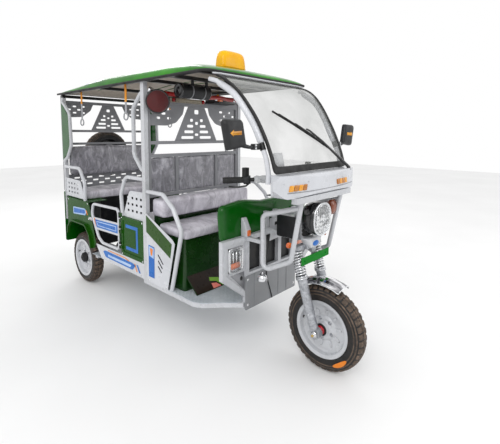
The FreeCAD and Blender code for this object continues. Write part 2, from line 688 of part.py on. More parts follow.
# ------------------------------------------------------------------ roof shell
RE, RW, RC, RT = val("roof_edge_z"), val("roof_half_width"), val("roof_crown"), val("roof_thick")
NOSE0, NOSE1, ROUND = 500.0, 645.0, 2.0 / 3.5


def canopy(inset):
    """Grid of points of the canopy: low tail, full middle, closed rounded nose."""
    rows = []
    for x, c_ in ((-1402, 0.19), (-1330, 0.29), (-1213, 0.43), (-1110, 0.52), (-1008, 0.61), (-900, 0.73), (-780, 0.85),
                  (-646, 0.965), (-411, 1.02), (-250, 1.0), (-73, 0.97), (100, 0.94), (280, 0.88), (420, 0.76)):
        w_ = RW - (6.0 * max(0.0, (-1250.0 - x) / 152.0))
        rows.append((x, w_ - inset, c_ * RC - inset))
    for k in range(8):
        a = math.radians(90.0 * k / 7.0)
        xn = math.sin(a) ** ROUND if k else 0.0
        cn = max(math.cos(a), 0.0) ** ROUND if k < 7 else 0.0
        x = NOSE0 + (NOSE1 - NOSE0 - inset) * xn
        t = max(0.0, (x - 575.0) / (70.0 - inset))
        wedge = 0.66 - 0.0021 * (x - NOSE0)
        rows.append((x, RW - inset - 46.0 * (1.0 - math.sqrt(max(0.0, 1.0 - t * t))), (wedge * RC - inset) * cn))
    grid = []
    for x, w_, c_ in rows:
        line = []
        for k in range(25):
            a = math.pi * k / 24.0
            cy, sy = math.cos(a), math.sin(a)
            y = w_ * math.copysign(abs(cy) ** ROUND, cy) if k != 12 else 0.0
            z = c_ * abs(sy) ** ROUND if k not in (0, 24) else 0.0
            line.append(Vector(x, y, RE + z))
        grid.append(line)
    s_ = Part.BSplineSurface()
    s_.interpolate(grid)
    return s_


outer_s, inner_s = canopy(0.0), canopy(RT)
faces = [outer_s.toShape(), inner_s.toShape()]
bo, bi = outer_s.bounds(), inner_s.bounds()
for k in (0, 1):
    faces.append(Part.makeRuledSurface(outer_s.uIso(bo[k]).toShape(), inner_s.uIso(bi[k]).toShape()))
    faces.append(Part.makeRuledSurface(outer_s.vIso(bo[k + 2]).toShape(), inner_s.vIso(bi[k + 2]).toShape()))
skin = Part.makeCompound(faces)
skin.sewShape(0.02)
shell = skin.Shells[0] if skin.Shells else Part.makeShell(skin.Faces)
solid = Part.makeSolid(shell)
if solid.Volume < 0:
    solid.reverse()
b = doc.addObject("Part::Feature", "roof_shell")
b.Shape = solid
place(b)
roof = done("roof_shell", b)

# ------------------------------------------------------------------ roof light
b = new_body("roof_light_front")
pad(b, "YZ_Plane", [[(-112, 1770), (112, 1770), (104, 1911), (-104, 1911)]], 96.0, "light_pad", radii=[[0, 0, 34, 34]])
place(b, 300)
b2 = new_body("roof_light_side")
pad(b2, "XZ_Plane", [[(300, 1788.5), (396, 1779.5), (396, 1911), (300, 1911)]], 240.0, "light_side_pad", offset=-120.0,
    radii=[[0, 0, 14, 14]])
place(b2)
g = doc.addObject("Part::Common", "roof_light_block")
g.Base, g.Tool = b, b2
b = g
done("roof_light", cut("roof_light", b, roof))

# -------------------------------------------------------------------- mirrors
b = new_body("mirror_right")
pad(b, "YZ_Plane", [[(-606, 1280), (-485, 1300), (-512, 1430), (-640, 1426)]], 34.0, "mirror_pad", radii=16.0)
place(b, 920)
arm = tube("mirror_arm", [(938, -500, 1312), (944, -470, 1296), (948, -430, 1294)], 8.0, [0, 8, 0])
clampb = box("mirror_clamp", (936, -444, 1278), (960, -381.3, 1312))
pair("side_mirrors", fuse("mirror_solid", [b, arm, clampb]))

# ------------------------------------------------------------------ front lamps
b = new_body("corner_lamp_right")
pad(b, "YZ_Plane", [[(-411.6, 563), (-246.4, 420), (-246.4, 727.6), (-411.6, 727.6)]], 19.0, "lamp_pad")
place(b, 702)
c = new_body("marker_lamp_right")
pad(c, "XZ_Plane", [[(701, 757.3), (750, 757.3), (750, 803), (716, 868), (701, 868)]], 38.0, "marker_pad", radii=[[0, 3, 3, 6, 4]])
place(c, 0, -229)
pair("front_lamps", group("front_lamps_right", [b, c]))

# ------------------------------------------------------------------- headlamp
b = new_body("headlamp")
pad(b, "YZ_Plane", [[(-98, 784), (98, 784), (98, 972), (-98, 972)]], 91.0, "head_pad", radii=70.0)
pad(b, "YZ_Plane", [[(-88, 792), (88, 792), (88, 962), (-88, 962)]], 22.0, "lens_pad", offset=91.0, radii=78.0)
place(b, 1000.2)
done("headlamp", b)

# ------------------------------------------------------------- seat box, cushions
b = new_body("front_seat_box")
pad(b, "XY_Plane", [[(2, -405), (340, -405), (340, 405), (2, 405)]], 341.6, "seat_box_pad", offset=348.4, radii=20.0)
pocket(b, "XY_Plane", [[(5, -402), (337, -402), (337, 402), (5, 402)]], 338.6, "seat_box_hollow", offset=348.4,
       reverse=True, radii=[17.0])
place(b)
riser = box("bench_riser", (2, -400, 686), (56, 400, 796))
fb = new_body("foot_board")
pad(fb, "XZ_Plane", [[(338, 441), (440, 350), (446, 350), (338, 446)]], 780.0, "foot_board_pad", offset=-390.0)
place(fb)
done("front_seat_box", fuse("front_seat_box_welded", [b, riser, fb]))

b = new_body("driver_cushion")
pad(b, "XZ_Plane", [[(62, 690), (374, 690), (374, 764), (62, 764)]], 836.0, "cushion_pad", offset=-418.0, radii=30.0)
place(b)
done("driver_cushion", b)
b = new_body("bench_cushion")
pad(b, "XZ_Plane", [[(-1, 796), (134, 796), (142, 880), (120, 918), (-1, 930)]], 850.0, "bench_pad", offset=-425.0, radii=24.0)
place(b)
done("bench_cushion", b)
bat = box("battery_pack", (40, -300, 348.4), (300, 300, 560))
done("battery_pack", bat)

# --------------------------------------------------------------------- partition
bits = []
XP0, XP1 = -34.0, -8.0
for z0, z1 in ((918, 940), (1192, 1216), (1284, 1306), (1556, 1600)):
    bits.append(box("part_rail_%d" % z0, (XP0, -432, z0), (XP1, 432, z1)))
for i, y in enumerate((-432, -202, 180, 409)):
    bits.append(box("part_post_%d" % i, (XP0, y, 918), (XP1, y + (22 if abs(y) < 430 else 23), 1216)))
for i, y in enumerate((-431, 409)):
    bits.append(box("part_side_%d" % i, (XP0, y, 1200), (XP1, y + 22, 1600)))
for s in (-1, 1):
    y0, y1 = sorted((s * 300, s * 330))
    bits.append(box("part_leg_%d" % (s + 1), (XP0, y0, 348.4), (XP1, y1, 930)))
b = new_body("partition_trapezoid")
holes = []
for yc, zc, w_, h_ in ((87, 1330, 114, 20), (73, 1372, 86, 20), (61, 1414, 58, 20), (48, 1458, 28, 22)):
    for s in (-1, 1):
        holes.append([(s * yc - w_ / 2, zc - h_ / 2), (s * yc + w_ / 2, zc - h_ / 2), (s * yc + w_ / 2, zc + h_ / 2), (s * yc - w_ / 2, zc + h_ / 2)])
for zc, w_, h_ in ((1351, 34, 18), (1436, 28, 22), (1520, 40, 32)):
    holes.append([(-w_ / 2, zc - h_ / 2), (w_ / 2, zc - h_ / 2), (w_ / 2, zc + h_ / 2), (-w_ / 2, zc + h_ / 2)])
pad(b, "YZ_Plane", [[(-205, 1300), (205, 1300), (76, 1562), (-76, 1562)]] + holes, "dims.sheet_thick", "trap_pad",
    radii=[0.0] + [8.0] * len(holes))
place(b, -22)
bits.append(b)
for s in (-1, 1):
    b = new_body("partition_lobe_%d" % (s + 1))
    o = [(s * 428, 1560), (s * 112, 1560), (s * 128, 1500), (s * 190, 1436), (s * 270, 1414), (s * 428, 1414)]
    hs = []
    for (yc, zc) in ((250, 1530), (340, 1530), (295, 1498), (250, 1466), (340, 1466), (390, 1498)):
        hs.append([(s * yc - 17, zc - 8), (s * yc + 17, zc - 8), (s * yc + 17, zc + 8), (s * yc - 17, zc + 8)])
    pad(b, "YZ_Plane", [o] + hs, "dims.sheet_thick", "lobe_pad", radii=[[0, 0, 40, 60, 60, 0]] + [7.0] * len(hs))
    place(b, -22)
    bits.append(b)
done("partition", fuse("partition", bits))

pads = []
for i, (y0, y1) in enumerate(((-409, -202), (-180, 180), (202, 409))):
    p = new_body("partition_pad_%d" % i)
    pad(p, "YZ_Plane", [[(y0, 940), (y1, 940), (y1, 1192), (y0, 1192)]], 20.0, "pad_pad")
    place(p, -31)
    pads.append(p)
done("partition_pads", group("partition_pads", pads))

# ----------------------------------------------------------- passenger benches
mid = cut("middle_seat_box", box("mid_box", (-320, -400, 348.4), (-60, 400, 690)),
          box("mid_box_hollow", (-317, -397, 347), (-63, 397, 687)))
rear = cut("rear_seat_box", box("rear_box", (-1356, -290, 345), (-1020, 290, 778)),
           box("rear_box_hollow", (-1353, -287, 344), (-1023, 287, 775)))
done("passenger_seat_boxes", group("passenger_seat_boxes", [mid, rear]))
b = new_body("middle_cushion")
pad(b, "XZ_Plane", [[(-336, 690), (-46, 690), (-46, 755), (-336, 755)]], 820.0, "mid_cushion_pad", offset=-410.0, radii=26.0)
place(b)
done("middle_cushion", b)
b = new_body("rear_cushion")
pad(b, "XZ_Plane", [[(-1358, 778), (-1000, 778), (-1000, 858), (-1358, 858)]], 836.0, "rear_cushion_pad", offset=-418.0, radii=30.0)
place(b)
done("rear_cushion", b)
b = new_body("rear_backrest")
pad(b, "XZ_Plane", [[(-1390, 962), (-1318, 962), (-1334, 1240), (-1390, 1240)]], 820.0, "backrest_pad", offset=-410.0, radii=18.0)
place(b)
done("rear_backrest", b)

# ------------------------------------------------------------------- rear wall
bits = []
for z0, z1 in ((826, 848), (1246, 1268), (1366, 1388), (1628, 1654)):
    bits.append(box("wall_rail_%d" % z0, (-1408, -450, z0), (-1390, 450, z1)))
for i, y in enumerate((-450, 420)):
    bits.append(box("wall_post_%d" % i, (-1408, y, 826), (-1390, y + 30, 1698)))
b = new_body("wall_trapezoid")
holes = []
for yc, zc, w_, h_ in ((78, 1412, 100, 18), (66, 1450, 76, 18), (54, 1488, 50, 18), (42, 1526, 24, 18)):
    for s in (-1, 1):
        holes.append([(s * yc - w_ / 2, zc - h_ / 2), (s * yc + w_ / 2, zc - h_ / 2), (s * yc + w_ / 2, zc + h_ / 2), (s * yc - w_ / 2, zc + h_ / 2)])
for zc, w_, h_ in ((1431, 30, 16), (1507, 24, 16), (1580, 34, 26)):
    holes.append([(-w_ / 2, zc - h_ / 2), (w_ / 2, zc - h_ / 2), (w_ / 2, zc + h_ / 2), (-w_ / 2, zc + h_ / 2)])
pad(b, "YZ_Plane", [[(-180, 1380), (180, 1380), (56, 1634), (-56, 1634)]] + holes, "dims.sheet_thick", "wall_trap",
    radii=[0.0] + [7.0] * len(holes))
place(b, -1402)
bits.append(b)
b = new_body("wall_tail")
slots = []
for j in range(3):
    for i in range(6):
        yc = -300 + i * 120 + (60 if j % 2 else 0) - 30
        zc = 868 + j * 32
        slots.append([(yc - 26, zc - 7), (yc + 26, zc - 7), (yc + 26, zc + 7), (yc - 26, zc + 7)])
pad(b, "YZ_Plane", [[(-422, 836), (422, 836), (422, 968), (-422, 968)]] + slots, "dims.sheet_thick", "seat_grille",
    radii=[0.0] + [4.0] * len(slots))
place(b, -1402)
bits.append(b)
for s in (-1, 1):
    b = new_body("wall_lobe_%d" % (s + 1))
    o = [(s * 422, 1634), (s * 150, 1634), (s * 180, 1570), (s * 260, 1510), (s * 422, 1500)]
    hs = []
    for (yc, zc) in ((250, 1606), (330, 1606), (290, 1576), (250, 1548), (330, 1548), (380, 1576)):
        hs.append([(s * yc - 16, zc - 7), (s * yc + 16, zc - 7), (s * yc + 16, zc + 7), (s * yc - 16, zc + 7)])
    pad(b, "YZ_Plane", [o] + hs, "dims.sheet_thick", "wall_lobe_pad", radii=[[0, 0, 40, 40, 0]] + [6.0] * len(hs))
    place(b, -1402)
    bits.append(b)
bits.append(box("spare_carrier", (-1408, -30, 1000), (-1392, 30, 1260)))
bits.append(cyl("spare_stud", (-1400, 0, 1150), (-1492, 0, 1150), 18.0))
done("rear_wall", fuse("rear_wall", bits))

b = new_body("tail_panel")
pad(b, "YZ_Plane", [[(-459, 348), (459, 348), (459, 825), (-459, 825)]], "dims.sheet_thick", "tail_pad", radii=20.0)
place(b, -1393)
tail = b
lam = box("tail_lamp_right", (-1424, -425, 560), (-1393, -345, 680))
pair("tail_lamps", lam)
b = new_body("corner_panel_right")
pad(b, "XZ_Plane", [[(-1391, 1116), (-1318, 1152), (-1241, 1254), (-1253, 1512), (-1336, 1586), (-1391, 1624)]],
    "dims.sheet_thick", "corner_pad")
place(b, 0, -450.3)
done("rear_panels", group("rear_panels", [tail, b, mirrored("corner_panel_left", b)]))

# ------------------------------------------------------------ overhead equipment
horn = cone("horn_dish", (26, -380, 1572), (67.5, -399, 1569.6), 36.0, 78.0)
horn.Height = 46.0
arm = box("horn_bracket", (-8, -386, 1560), (30, -362, 1584))
magnet = cyl("horn_magnet", (8, -373, 1573), (30, -382, 1572), 30.0)
horn_s = fuse("overhead_horn", [horn, arm, magnet])
tubeb = cyl("sub_tube", (190, -320, 1640), (190, -80, 1640), 48.0)
hang = [box("sub_hook_%d" % i, (254, y, 1668), (262, y + 20, 1703)) for i, y in enumerate((-270, -150))]
hang += [box("sub_strap_%d" % i, (212, y, 1668), (262, y + 20, 1674)) for i, y in enumerate((-270, -150))]
barl = box("light_bar", (-8, -250, 1580), (16, 50, 1608))
radio = box("radio_unit", (-8, 78, 1586), (90, 300, 1640))
done("overhead_audio", group("overhead_audio", [horn_s, fuse("sub_speaker", [tubeb] + hang), barl, radio]))

# ------------------------------------------------------------------ rear axle
bits = [cyl("axle_tube", (-1150, -296, 228), (-1150, 296, 228), "dims.axle_tube_rad")]
for s in (-1, 1):
    bits.append(cyl("axle_end_%d" % (s + 1), (-1150, s * 290, 228), (-1150, s * 388, 228), "dims.hub_stub_rad"))
    y0, y1 = sorted((s * 205, s * 255))
    bits.append(box("leaf_%d" % (s + 1), (-1386, y0, 270), (-914, y1, 286)))
    bits.append(box("leaf_short_%d" % (s + 1), (-1290, y0, 258), (-1010, y1, 272)))
    bits.append(box("spring_pad_%d" % (s + 1), (-1180, y0, 236), (-1120, y1, 262)))
    for i, x in enumerate((-1386, -936)):
        bits.append(box("shackle_%d_%d" % (s + 1, i), (x, y0 + 10, 280), (x + 22, y1 - 10, 304.6)))
diff = doc.addObject("Part::Sphere", "axle_gearcase")
diff.Radius = 84.0
place(diff, -1150, 0, 228)
bits.append(diff)
bits.append(cyl("drive_motor", (-1110, 0, 232), (-900, 0, 240), 68.0))
done("rear_axle", fuse("rear_axle", bits))


# --------------------------------------------------------------------- wheels
def wheel(label_t, label_r, cx, cy, r_out, dish, bore_r, spare=False):
    """Tyre and rim turned about the wheel's own axis."""
    hw = val("tyre_width") / 2
    rf, rb = val("rim_flange_rad"), val("rim_bead_rad")
    t_ = new_body(label_t)
    sk = new_sketch(t_, "YZ_Plane", "tyre_sketch")
    pts = [(-40, rb + 0.4), (-40, rf + 2), (-hw + 1.5, rf + 16), (-hw, rf + 0.42 * (r_out - rf) + 6), (-hw + 7, r_out - 24),
           (-hw + 17, r_out - 8), (-18, r_out - 1.5), (0, r_out), (18, r_out - 1.5), (hw - 17, r_out - 8),
           (hw - 7, r_out - 24), (hw, rf + 0.42 * (r_out - rf) + 6), (hw - 1.5, rf + 16), (40, rf + 2), (40, rb + 0.4),
           (30, rb + 0.4), (30, rf + 6), (hw - 12, rf + 20), (hw - 12, r_out - 32), (0, r_out - 18), (-hw + 12, r_out - 32),
           (-hw + 12, rf + 20), (-30, rf + 6), (-30, rb + 0.4)]
    to_sketch(sk, pts)
    rv = t_.newObject("PartDesign::Revolution", "tyre_turn")
    rv.Profile = sk
    rv.ReferenceAxis = (sk, ["H_Axis"])
    rv.Angle = 360.0
    doc.recompute()
    r_ = new_body(label_r)
    sk = new_sketch(r_, "YZ_Plane", "rim_sketch")
    d = dish
    pts = [(-46, rf), (-41, rf), (-41, rb), (41, rb), (41, rf), (46, rf), (46, rb - 5), (20, rb - 10),
           (d + 6, rb - 22), (d + 6, 96), (d + 14, 78), (d + 14, 52), (48, 46), (48, bore_r), (-48, bore_r), (-48, 46),
           (d + 8, 52), (d + 8, 78), (d, 96), (d, rb - 22), (-20, rb - 10), (-46, rb - 5)]
    to_sketch(sk, pts)
    rv = r_.newObject("PartDesign::Revolution", "rim_turn")
    rv.Profile = sk
    rv.ReferenceAxis = (sk, ["H_Axis"])
    rv.Angle = 360.0
    doc.recompute()
    return t_, r_


rt, rr = wheel("rear_tyre_right", "rear_rim_right", 0, 0, val("rear_wheel_rad"), -14.0, 15.6)
for o_ in (rt, rr):
    place(o_, -1150, -val("rear_half_track"), 228)
    o_.setExpression("Placement.Base.y", "-dims.rear_half_track")
    o_.setExpression("Placement.Base.z", "dims.rear_wheel_rad")
done("rear_tyre_right", rt)
done("rear_rim_right", rr)
done("rear_tyre_left", mirrored("rear_tyre_left", rt))
done("rear_rim_left", mirrored("rear_rim_left", rr))
ft, fr = wheel("front_tyre", "front_rim", 0, 0, val("front_wheel_rad"), -14.0, 8.6)
for o_ in (ft, fr):
    place(o_, AX_F, 0, 247)
    o_.setExpression("Placement.Base.x", "dims.rear_axle_x + dims.wheelbase")
    o_.setExpression("Placement.Base.z", "dims.front_wheel_rad")
done("front_tyre", ft)
done("front_rim", fr)
st, sr = wheel("spare_tyre_body", "spare_rim_body", 0, 0, val("rear_wheel_rad"), -14.0, 20.0)
for o_ in (st, sr):
    place(o_, -1456, 0, 1150, Rotation(Vector(0, 0, 1), 90))
done("spare_tyre", st)
done("spare_rim", sr)

# ---------------------------------------------------------------------- fork
bits = []
FH = val("fork_half")
ang = Rotation(Vector(0, 1, 0), -val("rake_deg"))
for s in (-1, 1):
    y = s * FH
    bits.append(cyl("stanchion_%d" % (s + 1), (steer_x(480) + 5, y, 480), (steer_x(716) + 5, y, 716), 15.0))
    bits.append(cone("slider_%d" % (s + 1), (steer_x(534) + 5, y, 534), (AX_F - 12, y, 262), 28.0, 25.0))
    y0, y1 = sorted((s * (FH - 18), s * (FH + 18)))
    bits.append(cyl("axle_lug_%d" % (s + 1), (AX_F, y0, 247), (AX_F, y1, 247), 31.0))
    bits.append(cyl("spring_seat_%d" % (s + 1), (steer_x(534) + 5, y, 534), (steer_x(546) + 5, y, 546), 34.0))
clamp_lo = doc.addObject("Part::Box", "lower_clamp")
clamp_lo.Length, clamp_lo.Width, clamp_lo.Height = 62.0, 2 * FH + 44.0, 24.0
clamp_lo.Placement = Placement(V(steer_x(692) - 26, -FH - 22, 692 - 6), ang)
bits.append(clamp_lo)
bits.append(cyl("steering_stem", (steer_x(700), 0, 700), (steer_x(1112), 0, 1112), "dims.stem_rad"))
bits.append(cyl("stem_top_nut", (steer_x(912), 0, 912), (steer_x(930), 0, 930), 26.0))
bits.append(cyl("front_axle", (AX_F, -FH - 34, 247), (AX_F, FH + 34, 247), "dims.axle_rad"))
bits.append(box("fork_cover", (1008, -62, 700), (1034, 62, 764)))
bits.append(box("plate_strap", (1034, -20, 640), (1040, 20, 750)))
bits.append(box("cover_neck", (996, -40, 706), (1010, 40, 722)))
for s in (-1, 1):
    y0, y1 = sorted((s * 58.0, s * 86.0))
    bits.append(box("mudguard_stay_%d" % (s + 1), (1003, y0, 488), (1044, y1, 502)))
done("steering_fork", fuse("steering_fork", bits))

springs = []
for s in (-1, 1):
    y = s * FH
    o_ = cyl("coil_outer_%d" % (s + 1), (steer_x(547) + 5, y, 547), (steer_x(680) + 5, y, 680), 32.0)
    i_ = cyl("coil_inner_%d" % (s + 1), (steer_x(540) + 5, y, 540), (steer_x(690) + 5, y, 690), 24.0)
    springs.append(cut("coil_%d" % (s + 1), o_, i_))
done("fork_springs", group("fork_springs", springs))

# ------------------------------------------------------------------ handlebar
HBZ = 1104.0
hx = steer_x(HBZ)
BE, BS = Vector(hx - 186, -398, HBZ - 4), Vector(hx - 50, -262, HBZ + 2)
bar = tube("handlebar_tube", [(BE.x, BE.y, BE.z), (BS.x, BS.y, BS.z), (hx + 14, -120, HBZ), (hx + 14, 120, HBZ),
                              (BS.x, -BS.y, BS.z), (BE.x, -BE.y, BE.z)], "dims.bar_rad", [0, 70, 100, 100, 70, 0])
clampb = box("bar_clamp", (hx - 20, -32, 1084), (hx + 34, 32, 1124))
stem_hole = cyl("stem_hole", (steer_x(1060), 0, 1060), (steer_x(1112.5), 0, 1112.5), 15.0)
done("handlebar", cut("handlebar", fuse("handlebar_solid", [bar, clampb]), stem_hole))
gdir = (BE - BS).normalize()
g0, g1 = BE - gdir * 136.0, BE + gdir * 6.0
go = cyl("grip_outer", (g0.x, g0.y, g0.z), (g1.x, g1.y, g1.z), "dims.grip_rad")
gb0 = g0 - gdir * 2.0
gi = cyl("grip_bore", (gb0.x, gb0.y, gb0.z), (BE.x, BE.y, BE.z), 11.3)
lv = g0 + gdir * 14.0
lever = box("lever_perch", (lv.x - 14, lv.y - 14, HBZ + 11), (lv.x + 14, lv.y + 14, HBZ + 68))
grip = cut("grip_right_solid", fuse("grip_right_f", [go, lever]), gi)
pair("handlebar_grips", grip)

# ------------------------------------------------------------- front mudguard
b = new_body("mudguard_sheet")
sk = new_sketch(b, "YZ_Plane", "mudguard_sketch")
mr, mh = val("mudguard_rad"), val("mudguard_half")
to_sketch(sk, [(-mh, mr - 18), (-mh + 10, mr - 2), (-mh * 0.5, mr + 6), (0, mr + 9), (mh * 0.5, mr + 6), (mh - 10, mr - 2), (mh, mr - 18),
               (mh - 2.5, mr - 19), (mh - 12, mr - 5), (mh * 0.5, mr + 3), (0, mr + 6), (-mh * 0.5, mr + 3), (-mh + 12, mr - 5), (-mh + 2.5, mr - 19)])
rv = b.newObject("PartDesign::Revolution", "mudguard_turn")
rv.Profile = sk
rv.ReferenceAxis = (sk, ["H_Axis"])
rv.Angle = 56.0
doc.recompute()
b.Placement = Placement(V(AX_F, 0, 247), Rotation(Vector(0, 1, 0), -32))
done("front_mudguard", b)

# ---------------------------------------------------------------- number plate
b = new_body("number_plate")
pad(b, "YZ_Plane", [[(-145, 626), (145, 626), (145, 672), (-145, 672)], ("circle", (-110, 649), 3.5),
                    ("circle", (110, 649), 3.5)], 3.0, "plate_pad", radii=[5.0, 0.0, 0.0])
place(b, 1052)
br = box("plate_bracket", (1040, -20, 640), (1052.5, 20, 660))
done("number_plate", fuse("number_plate_solid", [b, br]))


# ----------------------------------------------------------------------- doors
def door(side_label):
    yc = -HW + 3
    frame_pts = [(-800, yc, 778), (-380, yc, 790), (-380, yc, 482), (-650, yc, 478), (-716, yc, 512), (-824, yc, 690)]
    ringd = ring_tube("door_ring", frame_pts, "dims.door_tube_rad", [40, 40, 40, 60, 60, 60])
    bnd = new_body("door_band")
    pad(bnd, "XZ_Plane", [[(-752, 574), (-380, 586), (-380, 684), (-815, 668)]], "dims.door_band_thick", "band_pad")
    place(bnd, 0, yc + 2)
    bits_ = [ringd, bnd]
    for i, z in enumerate((524, 644, 724)):
        bits_.append(cut("knuckle_%d" % i,
                         fuse("knuckle_s_%d" % i, [cyl("knuckle_c_%d" % i, (-357, -HW - 4, z), (-357, -HW - 4, z + 22), 8.0),
                                                   box("knuckle_l_%d" % i, (-374, -HW - 7, z), (-357, -HW - 1, z + 22))]),
                         cyl("knuckle_b_%d" % i, (-357, -HW - 4, z - 2), (-357, -HW - 4, z + 24), 4.4)))
    bits_.append(box("door_latch", (-846, yc - 17, 640), (-800, yc - 9, 662)))
    return fuse("door_solid", bits_)


dr = door("right_door")
done("right_door", dr)
done("left_door", mirrored("left_door", dr))

# ------------------------------------------------------------ check and write
doc.recompute()
bad = [o.Name for o in doc.Objects if any(s in ("Invalid", "Error") for s in o.State)]
if bad:
    raise RuntimeError("failed objects: %s" % bad)
lo = [1e9] * 3
hi = [-1e9] * 3
for label, obj in parts:
    sh = obj.Shape
    if sh.isNull() or not sh.isValid():
        raise RuntimeError("%s has no valid shape" % label)
    for sol in sh.Solids:
        if sol.Volume < 1.0:
            raise RuntimeError("%s has an empty solid" % label)
    if not sh.Solids:
        raise RuntimeError("%s holds no solid" % label)
    bb = sh.BoundBox
    for i, (a, c) in enumerate(((bb.XMin, bb.XMax), (bb.YMin, bb.YMax), (bb.ZMin, bb.ZMax))):
        lo[i] = min(lo[i], a)
        hi[i] = max(hi[i], c)
print("sub-parts:", len(parts))
print("box: %s %s" % ([round(v, 1) for v in lo], [round(v, 1) for v in hi]))
os.makedirs("parts", exist_ok=True)
for label, obj in parts:
    obj.Shape.exportStep("parts/%s.step" % label)
    print("%-24s solids %d  volume %.1f cm3" % (label, len(obj.Shape.Solids), obj.Shape.Volume / 1000.0))
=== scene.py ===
import bpy
import bmesh
import math
import random
from mathutils import Vector, Matrix, Quaternion, noise


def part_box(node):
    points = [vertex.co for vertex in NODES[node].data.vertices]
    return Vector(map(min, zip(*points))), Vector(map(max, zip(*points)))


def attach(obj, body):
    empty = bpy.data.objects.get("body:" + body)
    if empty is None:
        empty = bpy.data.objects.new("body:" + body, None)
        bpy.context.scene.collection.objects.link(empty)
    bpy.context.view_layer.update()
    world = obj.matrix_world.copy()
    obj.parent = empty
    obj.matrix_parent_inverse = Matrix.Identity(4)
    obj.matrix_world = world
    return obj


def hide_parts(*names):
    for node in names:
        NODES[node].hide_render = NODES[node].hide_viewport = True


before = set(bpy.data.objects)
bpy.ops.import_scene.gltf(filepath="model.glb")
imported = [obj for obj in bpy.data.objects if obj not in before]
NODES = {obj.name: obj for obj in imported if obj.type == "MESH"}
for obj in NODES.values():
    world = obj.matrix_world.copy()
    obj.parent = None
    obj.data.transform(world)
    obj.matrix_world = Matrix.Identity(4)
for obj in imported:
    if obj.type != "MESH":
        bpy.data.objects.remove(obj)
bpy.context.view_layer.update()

# Looks of an electric auto rickshaw round its imported frame.
# Lengths in P() are millimetres measured from a point 64 mm behind the middle of the object; everything made from them
# is in metres in the part's frame.

SX = 0.064
random.seed(11)
noise.seed_set(11)


def P(x, y, z):
    return Vector((x / 1000.0 + SX, y / 1000.0, z / 1000.0))


# ------------------------------------------------------------------- camera
right_v = Vector((0.739168, 0.673497, 0.005655))
up_v = Vector((-0.069946, 0.068410, 0.995202))
back_v = Vector((0.669879, -0.736017, 0.097675))
cam_data = bpy.data.cameras.new("view_camera")
cam = bpy.data.objects.new("view_camera", cam_data)
bpy.context.scene.collection.objects.link(cam)
cam.matrix_world = Matrix((
    (right_v.x, up_v.x, back_v.x, 2.24817),
    (right_v.y, up_v.y, back_v.y, -1.81662),
    (right_v.z, up_v.z, back_v.z, 1.36074),
    (0, 0, 0, 1)))
cam_data.sensor_fit = "HORIZONTAL"
cam_data.sensor_width = 36.0
cam_data.lens = 26.65
cam_data.shift_x = 0.0
cam_data.shift_y = -0.104
cam_data.clip_start = 0.02
cam_data.clip_end = 60.0
bpy.context.scene.camera = cam


